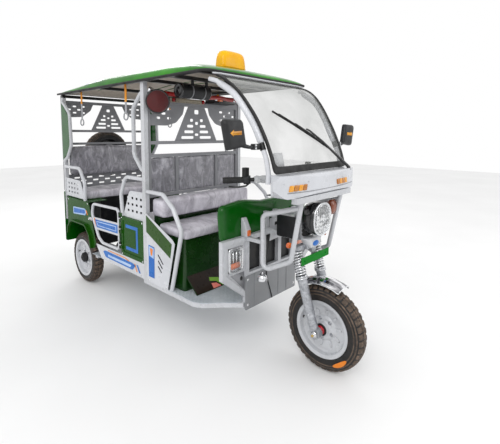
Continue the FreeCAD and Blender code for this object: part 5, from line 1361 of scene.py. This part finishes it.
def roof_pt(x, a, off=0.0):
    """Point on the outer canopy skin: a runs 0..180 degrees from the left edge over the top to the right edge."""
    def raw(xx, aa):
        w_, c_ = roof_row(xx)
        r_ = math.radians(aa)
        return Vector((xx, w_ * math.copysign(abs(math.cos(r_)) ** ROUND, math.cos(r_)), 1701.0 + c_ * max(0.0, math.sin(r_)) ** ROUND))
    p_ = raw(x, a)
    if off:
        a0, a1 = max(a - 1.5, 0.4), min(a + 1.5, 179.6)
        n_ = (raw(x, a1) - raw(x, a0)).cross(raw(x + 4, a) - raw(x - 4, a)) if x < 636 else Vector((1, 0, 0.2))
        n_.normalize()
        if n_.z < 0 or (abs(n_.z) < 0.2 and n_.y * p_.y < 0):
            n_ = -n_
        p_ = p_ + n_ * off
    return P(*p_)


def roof():
    # moulded ribs running back along the skin
    for a0, x0, x1 in ((62, -1180, 270), (76, -1180, 260), (104, -1180, 260), (118, -1180, 270)):
        pts = []
        for k in range(61):
            pts.append(roof_pt(x0 + (x1 - x0) * k / 60, a0, -2.5))
        rr = [0.008] * 61
        rr[0] = rr[-1] = 0.002
        rr[1] = rr[-2] = 0.006
        ob = join_meshes("roof_rib_%d" % a0, [tube_mesh(pts, rr, 10)])
        # the ribs take the lighter green copy: painted highlight
        give(ob, "green_lit", "chassis")
    # black edge bead all round
    loop = []
    for k in range(61):
        q = roof_pt(-1400 + 1975 * k / 60, 180)
        loop.append(q + Vector((0, 0.002, 0.0035)))
    for k in range(1, 16):
        x = 575 + 70 * math.sin(math.pi / 2 * k / 15)
        w_ = roof_row(x)[0]
        loop.append(P(x - 2, -w_ + 2, 1704.5))
    for k in range(15, 0, -1):
        x = 575 + 70 * math.sin(math.pi / 2 * k / 15)
        w_ = roof_row(x)[0]
        loop.append(P(x - 2, w_ - 2, 1704.5))
    for k in range(61):
        q = roof_pt(575 - 1975 * k / 60, 0)
        loop.append(q + Vector((0, -0.002, 0.0035)))
    ob = join_meshes("roof_edge_bead", [tube_mesh(loop, 0.0085, 8)])
    give(ob, "rubber", "chassis")
    rear = [roof_pt(-1400, 180 * k / 40) + Vector((0, 0, -0.003)) for k in range(41)]
    give(join_meshes("roof_rear_bead", [tube_mesh(rear, 0.0055, 8)]), "rubber", "chassis")
    # bright strip under the front edge
    o = [P(647 - 6 * abs(y / 430) ** 6, y, 1694) for y in [-430 + 860 * k / 20 for k in range(21)]]
    give(join_meshes("roof_front_strip", [tube_mesh(o, 0.0062, 8)]), "white", "chassis")
    # lamp base gasket
    lo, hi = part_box("roof_light")
    c = (lo + hi) / 2
    base = []
    o = []
    for (a, b_) in ((-0.056, -0.120), (0.056, -0.120), (0.056, 0.120), (-0.056, 0.120)):
        o.append(Vector((c.x + a, b_, 1.7808 - 0.094 * a)))
    ob = join_meshes("roof_light_gasket", [solid_outline(round_outline(o, 0.02), (0, 0, 1), 0.010)])
    bevel(ob, 0.003, 2)
    give(ob, "rubber", "chassis")
    # crowned lamp shell
    rings = []
    for z, yy, xx, p in ((1788, 112, 48, 5), (1814, 112, 48, 5), (1855, 109, 46, 4.5), (1886, 104, 42, 4), (1902, 95, 35, 3.4), (1909, 80, 25, 3), (1911, 50, 12, 2.6)):
        ring = []
        for k in range(44):
            t = 2 * math.pi * k / 44
            cc, ss = math.cos(t), math.sin(t)
            dx_ = xx * math.copysign(abs(cc) ** (2 / p), cc)
            ring.append((348 + dx_, yy * math.copysign(abs(ss) ** (2 / p), ss), z - (0.094 * dx_ if z == 1788 else 0.0)))
        rings.append(ring)
    ob = join_meshes("roof_lamp_shell", [loft("rl", rings)])
    give(ob, "yellow", "chassis")
    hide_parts("roof_light")
    rim_ = [P(348 + 48 * math.copysign(abs(math.cos(t)) ** 0.4, math.cos(t)), 112 * math.copysign(abs(math.sin(t)) ** 0.4, math.sin(t)), 1802) for t in [2 * math.pi * k / 44 for k in range(44)]]
    give(join_meshes("roof_lamp_rim", [tube_mesh(rim_, 0.003, 8, closed=True)]), "yellow", "chassis")
    # pale film patch and its blue marks on each side, and a white film patch that is a painted highlight on the roof
    # skin
    for s in (-1, 1):
        def film(tag, xa, xb, aa, ab, key, off, skew=0.0):
            vs, fs = [], []
            N, K = 20, 6
            for k in range(N + 1):
                f = k / N
                for j in range(K):
                    x = xa + (xb - xa) * f + skew * (j / (K - 1))
                    a = aa + (ab - aa) * j / (K - 1)
                    vs.append(roof_pt(x, a if s > 0 else 180 - a, off))
            for k in range(N):
                for j in range(K - 1):
                    a = k * K + j
                    fs.append((a, a + 1, a + K + 1, a + K) if s > 0 else (a, a + K, a + K + 1, a + 1))
            give(new_mesh("roof_film_%s_%s" % (tag, "r" if s < 0 else "l"), vs, fs), key, "chassis")
        film("pale", -880, -560, 16, 40, "white_film", 1.2, -16)
        film("blue_a", -850, -800, 20, 34, "blue_film", 1.7, -8)
        film("blue_b", -700, -660, 20, 34, "blue_film", 1.7, -8)
        # white patch: painted highlight on the roof
        film("sheen", -540, -250, 26, 40, "white_film", 1.2, -30)


roof()


# ------------------------------------------------------------ side films, bolts
def foot_board():
    n_ = Vector((96, 0, 108)).normalized()

    def q(pts, off=0.0012):
        return [P(338 + 108 * t, y, 446 - 96 * t) + Vector(n_) * off for t, y in pts]

    def film(name, pts, key, off):
        give(new_mesh(name, *solid_outline(q(pts, off), n_, 0.0004), smooth=False), key, "chassis")
    film("foot_board_dark", [(0.02, -386), (0.02, 386), (0.98, 386), (0.98, -386)], "brown_film", 0.0006)
    film("foot_board_lime", [(0.40, -236), (0.54, -172), (0.97, -120), (0.97, -168), (0.68, -200), (0.57, -246)], "lime_film", 0.0013)
    film("foot_board_pink", [(0.70, -244), (0.76, -206), (0.97, -180), (0.97, -250)], "pink_film", 0.0016)


foot_board()


def pillar_trim():
    for s_ in (-1, 1):
        base = [(944, 366, 1310), (898, 368, 1400), (846, 381, 1484), (774, 394, 1572), (658, 407, 1644)]
        pts = []
        for i in range(len(base) - 1):
            p0, p1, p2, p3 = [Vector(base[max(0, min(len(base) - 1, i + d))]) for d in (-1, 0, 1, 2)]
            for k in range(8):
                pts.append(P(*[cat(p0[j], p1[j], p2[j], p3[j], k / 8.0) * (s_ if j == 1 else 1) for j in range(3)]))
        pts.append(P(658, s_ * 407, 1644))
        rr = [0.019] * len(pts)
        rr[0], rr[1], rr[-1], rr[-2] = 0.014, 0.017, 0.012, 0.017
        give(join_meshes("pillar_trim_%d" % (s_ + 1), [tube_mesh(pts, rr, 16)]), "white", "chassis")
        # dark plates on the lamp arms
        o = [P(812, s_ * 60.6, 742), P(962, s_ * 60.6, 742), P(962, s_ * 60.6, 874), P(812, s_ * 60.6, 874)]
        ob = join_meshes("arm_cover_%d" % (s_ + 1), [solid_outline(round_outline(o, 0.012), (0, s_, 0), 0.0024)])
        bevel(ob, 0.0008, 2)
        give(ob, "black", "chassis")
    # blank card behind the screen
    o = [P(988, -335, 1261), P(988, -250, 1262), P(1014, -256, 1176), P(1014, -335, 1176)]
    give(join_meshes("screen_card", [solid_outline(round_outline(o, 0.003), (-1, 0, -0.3), 0.0006)]), "white_film", "chassis")


pillar_trim()


def side_films():
    for s in (-1, 1):
        sd = "right" if s < 0 else "left"
        n_ = (0, s, 0)
        Y = s * 462

        def q(*pts):
            return [P(x, Y, z) for x, z in pts]
        decal("gusset_stripe_" + sd, q((-1, 806), (288, 662), (270, 566), (-1, 690)), n_, "olive_film")
        decal("gusset_mark_" + sd, q((22, 606), (92, 600), (88, 384), (20, 384)), n_, "blue_film", radius=0.004)
        decal("gusset_mark_pale_" + sd, q((30, 598), (84, 593), (84, 520), (30, 530)), n_, "pale_film", off=0.0014)
        decal("gusset_mark_orange_" + sd, q((40, 588), (76, 584), (66, 536), (48, 538)), n_, "orange_film", off=0.0019, radius=0.006)
        decal("gusset_mark_foot_" + sd, q((30, 470), (78, 470), (80, 396), (28, 396)), n_, "blue_film", off=0.0015)
        decal("rocker_band_" + sd, q((-640, 412), (-612, 426), (-200, 424), (-150, 414), (-196, 372), (-600, 374)), n_, "blue_film", radius=0.004)
        decal("rocker_band_pale_" + sd, q((-560, 404), (-210, 404), (-226, 384), (-560, 386)), n_, "pale_film", off=0.0014)
        decal("rocker_line_" + sd, q((-560, 434), (-300, 434), (-240, 420), (-236, 428), (-298, 441), (-560, 440)), n_, "orange_film")
        decal("rocker_slash_" + sd, q((-140, 424), (-120, 424), (-86, 372), (-106, 372)), n_, "blue_film")
        decal("rocker_slash2_" + sd, q((-172, 424), (-158, 424), (-126, 372), (-140, 372)), n_, "orange_film")
        # side panel frame stripe, in its recess
        Yp = s * 457
        pts = [(-286, 694), (-122, 694), (-122, 506), (-286, 506), (-286, 530), (-146, 530), (-146, 670), (-286, 670)]
        decal("panel_bracket_" + sd, [P(x, Yp, z) for x, z in pts], n_, "blue_film", off=0.0008)
        pts = [(-280, 656), (-160, 656), (-160, 545), (-280, 545)]
        decal("panel_blank_" + sd, [P(x, Yp, z) for x, z in pts], n_, "green_side", off=0.0006, radius=0.006)
        # fender mark
        decal("fender_mark_" + sd, q((-1190, 704), (-950, 716), (-925, 688), (-950, 658), (-1190, 640)), n_, "pale_film", radius=0.010)
        decal("fender_mark_in_" + sd, q((-1176, 694), (-962, 704), (-945, 687), (-962, 670), (-1176, 652)), n_, "blue_film", off=0.0014, radius=0.008)
        decal("fender_mark_tip_" + sd, q((-940, 704), (-920, 704), (-898, 668), (-916, 668)), n_, "orange_film", off=0.0012)
        # bolts
        bl = []
        for x, z in ((-336, 738), (-56, 738), (-336, 464), (-56, 464), (-660, 360), (-80, 360), (-740, 442), (10, 356), (220, 356), (-1290, 760), (-900, 764)):
            bl.append(bolt(P(x, Y, z), n_, 0.0045, 0.003))
        give(join_meshes("side_bolts_" + sd, bl), "chrome", "chassis")
        # door film, on the door body
        body = "right_door" if s < 0 else "left_door"
        Yd = s * 461.2
        decal("door_band_film_" + sd, [P(x, Yd, z) for x, z in ((-742, 592), (-398, 602), (-398, 668), (-770, 654))], n_, "blue_film", off=0.0006, radius=0.004, body=body)
        decal("door_band_pale_" + sd, [P(x, Yd, z) for x, z in ((-725, 606), (-420, 614), (-420, 656), (-745, 643))], n_, "pale_film", off=0.0011, radius=0.004, body=body)
        decal("door_band_in_" + sd, [P(x, Yd, z) for x, z in ((-715, 613), (-430, 620), (-430, 648), (-733, 637))], n_, "blue_film", off=0.0016, radius=0.004, body=body)
        decal("door_band_tip_" + sd, [P(x, Yd, z) for x, z in ((-788, 664), (-776, 664), (-752, 596), (-764, 592))], n_, "orange_film", off=0.0008, body=body)
        hg = []
        for z in (505, 535, 625, 655, 735, 759):
            hg.append(lathe([(-0.0085, 0.0001), (-0.0085, 0.0088), (0.0085, 0.0088), (0.0085, 0.0001)], P(-357, s * 466, z + 6), (0, 0, 1), 18))
        give(join_meshes("hinge_barrels_" + sd, hg), "black_paint", "chassis")
        lt = solid_outline(round_outline([P(-848, s * 476.4, 638), P(-798, s * 476.4, 638), P(-798, s * 476.4, 664), P(-848, s * 476.4, 664)], 0.006), (0, s, 0), 0.002)
        knob = lathe([(0.0, 0.006), (0.008, 0.005), (0.014, 0.008), (0.016, 0.0001)], P(-822, s * 478, 651), (0, s, 0), 20)
        give(join_meshes("latch_plate_" + sd, [lt, knob]), "chrome", body)


side_films()


# ---------------------------------------------------------- fork, plate, guard
def front_bits():
    # brass axle ends and nuts
    for s in (-1, 1):
        ax = (0, s, 0)
        o = P(1129, s * 117, 247)
        give(join_meshes("axle_nut_%d" % (s + 1), [bolt(P(1129, s * 123, 247), ax, 0.013, 0.010)]), "chrome", "steering")
        rd = lathe([(0.0, 0.0075), (0.008, 0.0075), (0.010, 0.006), (0.010, 0.0001)], P(1129, s * 132, 247), ax, 20)
        give(join_meshes("axle_end_%d" % (s + 1), [rd]), "brass", "steering")
        # pinch bolts on the fork leg
        give(join_meshes("leg_bolts_%d" % (s + 1), [bolt(P(1105, s * 118, 300), ax, 0.006), bolt(P(1092, s * 120.5, 350), ax, 0.005)]), "chrome", "steering")
    # amber reflectors on the legs and a turn lamp by the headlamp on the left
    for s in (-1, 1):
        rf = lathe([(0.0, 0.0001), (0.0, 0.017), (0.006, 0.017), (0.009, 0.014), (0.009, 0.0001)], P(996, s * 187, 745), (0.72, s * 0.69, 0), 28)
        give(join_meshes("leg_reflector_%d" % (s + 1), [rf]), "orange", "chassis")
        if s < 0:
            continue
        stem = tube_mesh([P(1040, s * 88, 912), P(1048, s * 136, 918)], 0.009, 10)
        give(join_meshes("turn_lamp_stem", [stem]), "black", "chassis")
        rings = []
        for k, (dy, ry, rz) in enumerate(((132, 16, 34), (140, 22, 46), (186, 22, 48), (197, 14, 36))):
            rings.append([(1056 + ry * math.cos(t), s * dy, 920 + rz * math.sin(t)) for t in [2 * math.pi * j / 28 for j in range(28)]])
        give(join_meshes("turn_lamp", [loft("t", rings)]), "brown_lens", "chassis")
    # bell under the right guard loop
    bellp = lathe([(0.0, 0.0001), (0.001, 0.014), (-0.008, 0.025), (-0.024, 0.029), (-0.036, 0.0295), (-0.037, 0.027), (-0.020, 0.025), (-0.006, 0.020)], P(846, -235, 553), (0, 0, 1), 32)
    give(join_meshes("guard_bell", [bellp]), "chrome", "chassis")
    give(join_meshes("guard_bell_bolt", [tube_mesh([P(846, -235, 565), P(846, -235, 550)], 0.004, 10)]), "chrome", "chassis")
    # bent bracket behind the guard
    o = [P(728.4, -36, 682), P(728.4, 60, 690), P(728.4, 120, 700), P(728.4, 150, 760), P(728.4, 124, 806), P(728.4, 20, 836), P(728.4, -30, 828)]
    ob = join_meshes("head_bracket_plate", [solid_outline(round_outline(o, 0.012), (1, 0, 0), 0.003)])
    bevel(ob, 0.001, 2)
    give(ob, "silver", "chassis")
    o = [P(731.6, 16, 776), P(731.6, 60, 782), P(731.6, 52, 800), P(731.6, 20, 798)]
    give(join_meshes("head_bracket_slot", [solid_outline(round_outline(o, 0.005), (1, 0, 0), 0.0008)]), "rubber", "chassis")
    # folds pressed in the apron, and its bolts
    seams = [solid_outline([P(731.2, y, 304), P(731.2, y + 7, 304), P(731.2, y + 7, 508), P(731.2, y, 508)], (1, 0, 0), 0.0022) for y in (-176, 60, 148)]
    ob = join_meshes("apron_folds", seams)
    bevel(ob, 0.0009, 2)
    give(ob, "apron", "chassis")
    give(join_meshes("apron_bolts", [bolt(P(731, y, z), (1, 0, 0), 0.006, 0.004) for y in (-232, 232) for z in (330, 486)]), "chrome", "chassis")
    # mudguard edge bead
    pts_r, pts_l = [], []
    for k in range(31):
        a = math.radians(-31 + 54.6 * k / 30)
        r = 267.5
        pts_r.append(P(1129 + r * math.sin(a), -57.5, 247 + r * math.cos(a)))
        pts_l.append(P(1129 + r * math.sin(a), 57.5, 247 + r * math.cos(a)))
    tip = []
    prof = [(-57.5, 267.5), (-48, 284), (-29, 292), (0, 295), (29, 292), (48, 284), (57.5, 267.5)]
    a = math.radians(23.8)
    for y, r in prof:
        tip.append(P(1129 + r * math.sin(a), y, 247 + r * math.cos(a)))
    give(join_meshes("mudguard_bead", [tube_mesh(pts_r, 0.0028, 8), tube_mesh(pts_l, 0.0028, 8), tube_mesh(tip, 0.0032, 8)]), "chrome", "steering")
    # plate screws
    give(join_meshes("plate_screw_heads", [bolt(P(1055, y, 649), (1, 0, 0), 0.005, 0.003) for y in (-110, 110)]), "plate", "steering")
    # weld beads on the guard loops
    wb = []
    for s in (-1, 1):
        wb.append(lathe([(-0.004, 0.0138), (0.0, 0.0165), (0.004, 0.0138)], P(1084, s * 207.5, 978), (0.2, 0, 1), 20))
        wb.append(lathe([(-0.004, 0.0138), (0.0, 0.016), (0.004, 0.0138)], P(846, s * 235, 744), (0, 0, 1), 20))
    give(join_meshes("guard_welds", wb), "silver", "chassis")


front_bits()


# ------------------------------------------------------------- overhead things
def overhead():
    # horn: cone liner, cap, rim
    ax = Vector((41.5, -19, -2.4)).normalized()
    o = P(26, -380, 1572)
    give(join_meshes("horn_liner", [lathe([(0.0468, 0.0725), (0.0466, 0.066), (0.0480, 0.040), (0.0500, 0.024), (0.0520, 0.0001)], o, ax, 48)]), "dark_red", "chassis")
    give(join_meshes("horn_lip", [lathe([(0.040, 0.0755), (0.043, 0.0800), (0.048, 0.0800), (0.0495, 0.0755), (0.0475, 0.0705)], o, ax, 48)]), "black_gloss", "chassis")
    # silver driver cap on the bracket
    give(join_meshes("horn_driver", [lathe([(0.0, 0.0001), (0.0, 0.020), (0.030, 0.021), (0.034, 0.017), (0.036, 0.0001)], P(10, -396, 1640), (-0.3, -0.45, 0.2), 28)]), "chrome", "chassis")
    # speaker tube: end rolls and two pale bands
    t0 = P(190, 0, 1640)
    for k, y in enumerate((-320, -80)):
        d = -1 if k == 0 else 1
        give(join_meshes("sub_end_%d" % k, [lathe([(-0.006, 0.0485), (-0.002, 0.0500), (0.003, 0.0490), (0.004, 0.040), (0.001, 0.030), (0.0035, 0.016), (0.0045, 0.0001)],
                                                  P(190, y, 1640), (0, d, 0), 40)]), "black_gloss", "chassis")
    bands = [lathe([(-0.004, 0.0482), (-0.004, 0.0500), (0.004, 0.0500), (0.004, 0.0482)], P(190, y, 1640), (0, 1, 0), 40) for y in (-232, -128)]
    give(join_meshes("sub_bands", bands), "grey", "chassis")
    # ribbed lamp bar with red ends
    ribs = []
    for k in range(22):
        y = -214 + k * 10.6
        ribs.append(solid_outline([P(16.2, y, 1582), P(16.2, y + 7, 1582), P(16.2, y + 7, 1606), P(16.2, y, 1606)], (1, 0, 0), 0.004))
    ob = join_meshes("lamp_bar_ribs", ribs)
    bevel(ob, 0.001, 2)
    give(ob, "lamp_beige", "chassis")
    case = [solid_outline(round_outline([P(16, -251, 1579), P(16, 51, 1579), P(16, 51, 1609), P(16, -251, 1609)], 0.004), (-1, 0, 0), 0.0225)]
    give(join_meshes("lamp_bar_case", case), "beige", "chassis")
    ends = [solid_outline([P(16.2, y, 1580.5), P(16.2, y + 22, 1580.5), P(16.2, y + 22, 1607.5), P(16.2, y, 1607.5)], (1, 0, 0), 0.006) for y in (-246, 24)]
    ob = join_meshes("lamp_bar_ends", ends)
    bevel(ob, 0.0015, 2)
    give(ob, "red", "chassis")
    # tape player face
    face = [solid_outline(round_outline([P(90.2, 82, 1590), P(90.2, 296, 1590), P(90.2, 296, 1636), P(90.2, 82, 1636)], 0.005), (1, 0, 0), 0.003)]
    give(join_meshes("radio_face", face), "black_gloss", "chassis")
    give(join_meshes("radio_dial", [solid_outline([P(93.4, 110, 1602), P(93.4, 165, 1602), P(93.4, 165, 1626), P(93.4, 110, 1626)], (1, 0, 0), 0.001)]), "orange", "chassis")
    knobs = [lathe([(0.0, 0.009), (0.010, 0.008), (0.011, 0.0001)], P(93.2, y, 1613), (1, 0, 0), 20) for y in (94, 282)]
    give(join_meshes("radio_knobs", knobs), "chrome", "chassis")
    # red trim rail with shallow scallops under the speaker, held at both ends
    vs, fs = [], []
    N = 50
    for k in range(N + 1):
        f = k / N
        y = -425 + 850 * f
        sag = 4 * math.sin(f * math.pi * 7)
        x = 110 - 60 * abs(2 * f - 1) ** 3
        for (dx, dz) in ((-1.5, -14), (1.5, -15), (3, 0), (1.5, 14), (-1.5, 15), (-3, 0)):
            vs.append(P(x + dx + 3 * math.sin(f * 40), y, 1624 + sag + dz))
    for k in range(N):
        for j in range(6):
            l_ = (j + 1) % 6
            fs.append((k * 6 + j, k * 6 + l_, (k + 1) * 6 + l_, (k + 1) * 6 + j))
    fs.append(tuple(range(6))[::-1])
    fs.append(tuple(N * 6 + j for j in range(6)))
    give(join_meshes("red_trim_rail", [(vs, fs)]), "red", "chassis")
    stays = [tube_mesh([P(50, s * 424, 1624), P(10, s * 431, 1626), P(-3, s * 431, 1626)], 0.004, 8) for s in (-1, 1)]
    give(join_meshes("red_trim_stays", stays), "black_paint", "chassis")


overhead()


# --------------------------------------------------------------- hanging straps
def strap(s, x, z_top, z_mid, z_low, tag):
    """Webbing loop over the roof rail with a grey hand loop under it."""
    def ribbon(name, pts, w, key, t=0.0024):
        vs, fs = [], []
        n_ = len(pts)
        for p_ in pts:
            c = P(*p_)
            for (dx, dy) in ((-w, -t), (w, -t), (w, t), (-w, t)):
                vs.append(c + Vector((dx, dy, 0)))
        for i in range(n_ - 1):
            for k in range(4):
                l_ = (k + 1) % 4
                fs.append((i * 4 + k, i * 4 + l_, (i + 1) * 4 + l_, (i + 1) * 4 + k))
        fs.append((3, 2, 1, 0))
        fs.append(tuple((n_ - 1) * 4 + k for k in range(4)))
        ob = join_meshes(name, [(vs, fs)])
        bevel(ob, 0.0008, 2)
        give(ob, key, "chassis")
    y = s * 444
    ribbon("strap_upper_" + tag, [(x, y, z_top), (x + 1, y - s * 1, (z_top + z_mid) / 2), (x, y, z_mid)], 0.012, "strap")
    ribbon("strap_lower_" + tag, [(x, y, z_mid + 4), (x, y - s * 2, (z_mid + z_low) / 2), (x - 2, y, z_low + 40)], 0.010, "grey_strap")
    ring = []
    for k in range(28):
        t = 2 * math.pi * k / 28
        ring.append(P(x - 2 + 26 * math.cos(t) * (1.0 if math.sin(t) > 0 else 1.15), y, z_low + 18 + 26 * math.sin(t)))
    give(join_meshes("strap_ring_" + tag, [tube_mesh(ring, 0.005, 10, closed=True)]), "grey_strap", "chassis")


for s_, t_ in ((-1, "r"), (1, "l")):
    strap(s_, -980, 1700, 1600, 1430, "a" + t_)
    strap(s_, -262, 1703, 1580, 1462, "b" + t_)


# ----------------------------------------------------------------- tail lamps
def tail(s, side):
    y0, y1 = sorted((s * 345, s * 425))
    o = round_outline([P(-1393, y0, 560), P(-1393, y1, 560), P(-1393, y1, 680), P(-1393, y0, 680)], 0.010)
    ob = join_meshes("tail_lamp_base_" + side, [solid_outline(o, (-1, 0, 0), 0.010)])
    give(ob, "black", "chassis")
    for (za, zb, key) in ((566, 600, "amber"), (603, 640, "red"), (643, 674, "white_film")):
        o = round_outline([P(-1403, y0 + 6, za), P(-1403, y1 - 6, za), P(-1403, y1 - 6, zb), P(-1403, y0 + 6, zb)], 0.006)
        ob = join_meshes("tail_lamp_%d_%s" % (za, side), [solid_outline(o, (-1, 0, 0), 0.020)])
        bevel(ob, 0.003, 3)
        give(ob, key, "chassis")
        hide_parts("tail_lamps")


both(tail)


# ------------------------------------------------------------- floor and lights
def stage():
    me = bpy.data.meshes.new("floor_sheet")
    n_ = 1
    me.from_pydata([(-14, -14, 0), (14, -14, 0), (14, 14, 0), (-14, 14, 0)], [], [(0, 1, 2, 3)])
    fl = bpy.data.objects.new("floor_sheet", me)
    bpy.context.scene.collection.objects.link(fl)
    s = Shade("pale_floor", (0.86, 0.86, 0.86), 0.9)
    s.colour(s.ramp(s.noise(0.8, 3), [(0.3, (0.84, 0.84, 0.84)), (0.7, (0.88, 0.88, 0.88))]))
    me.materials.append(s.m)
    w = bpy.data.worlds.new("studio_air")
    bpy.context.scene.world = w
    w.use_nodes = True
    nt = w.node_tree
    bg = nt.nodes["Background"]
    bg.inputs["Strength"].default_value = 1.0
    tc = nt.nodes.new("ShaderNodeTexCoord")
    sp = nt.nodes.new("ShaderNodeSeparateXYZ")
    nt.links.new(tc.outputs["Generated"], sp.inputs[0])
    band = nt.nodes.new("ShaderNodeValToRGB")
    el = band.color_ramp.elements
    el[0].position, el[0].color = 0.40, (1, 1, 1, 1)
    el[1].position, el[1].color = 0.47, (0.70, 0.70, 0.71, 1)
    for pos, v in ((0.535, 0.74), (0.60, 0.95), (0.78, 1.0)):
        e = el.new(pos)
        e.color = (v, v, v, 1)
    up = nt.nodes.new("ShaderNodeMapRange")
    up.inputs["From Min"].default_value = -1.0
    up.inputs["From Max"].default_value = 1.0
    nt.links.new(sp.outputs["Z"], up.inputs["Value"])
    nt.links.new(up.outputs["Result"], band.inputs["Fac"])
    dt = nt.nodes.new("ShaderNodeVectorMath")
    dt.operation = "DOT_PRODUCT"
    dt.inputs[1].default_value = (0.67, -0.74, 0.0)
    nt.links.new(tc.outputs["Generated"], dt.inputs[0])
    side = nt.nodes.new("ShaderNodeMapRange")
    side.inputs["From Min"].default_value = -0.15
    side.inputs["From Max"].default_value = 0.25
    nt.links.new(dt.outputs["Value"], side.inputs["Value"])
    mx = nt.nodes.new("ShaderNodeMix")
    mx.data_type = "RGBA"
    mx.inputs[6].default_value = (1, 1, 1, 1)
    nt.links.new(side.outputs["Result"], mx.inputs[0])
    nt.links.new(band.outputs["Color"], mx.inputs[7])
    nt.links.new(mx.outputs[2], bg.inputs["Color"])

    def area(name, loc, aim, size, power, colour=(1, 1, 1)):
        d = bpy.data.lights.new(name, "AREA")
        d.shape = "RECTANGLE"
        d.size, d.size_y = size
        d.energy = power
        d.color = colour
        o = bpy.data.objects.new(name, d)
        bpy.context.scene.collection.objects.link(o)
        o.location = loc
        o.rotation_euler = (Vector(aim) - Vector(loc)).to_track_quat("-Z", "Y").to_euler()
    area("key_light", (3.2, -4.2, 4.6), (0, 0, 0.7), (3.0, 2.4), 110)
    area("fill_light", (4.8, 2.6, 2.6), (0.2, 0, 0.8), (2.6, 2.6), 30)
    area("back_light", (-4.4, 1.6, 4.2), (0, 0, 0.9), (3.0, 2.0), 50)


stage()
bpy.context.scene.view_settings.view_transform = "Standard"
bpy.context.scene.view_settings.look = "None"
bpy.context.scene.view_settings.exposure = 0.0
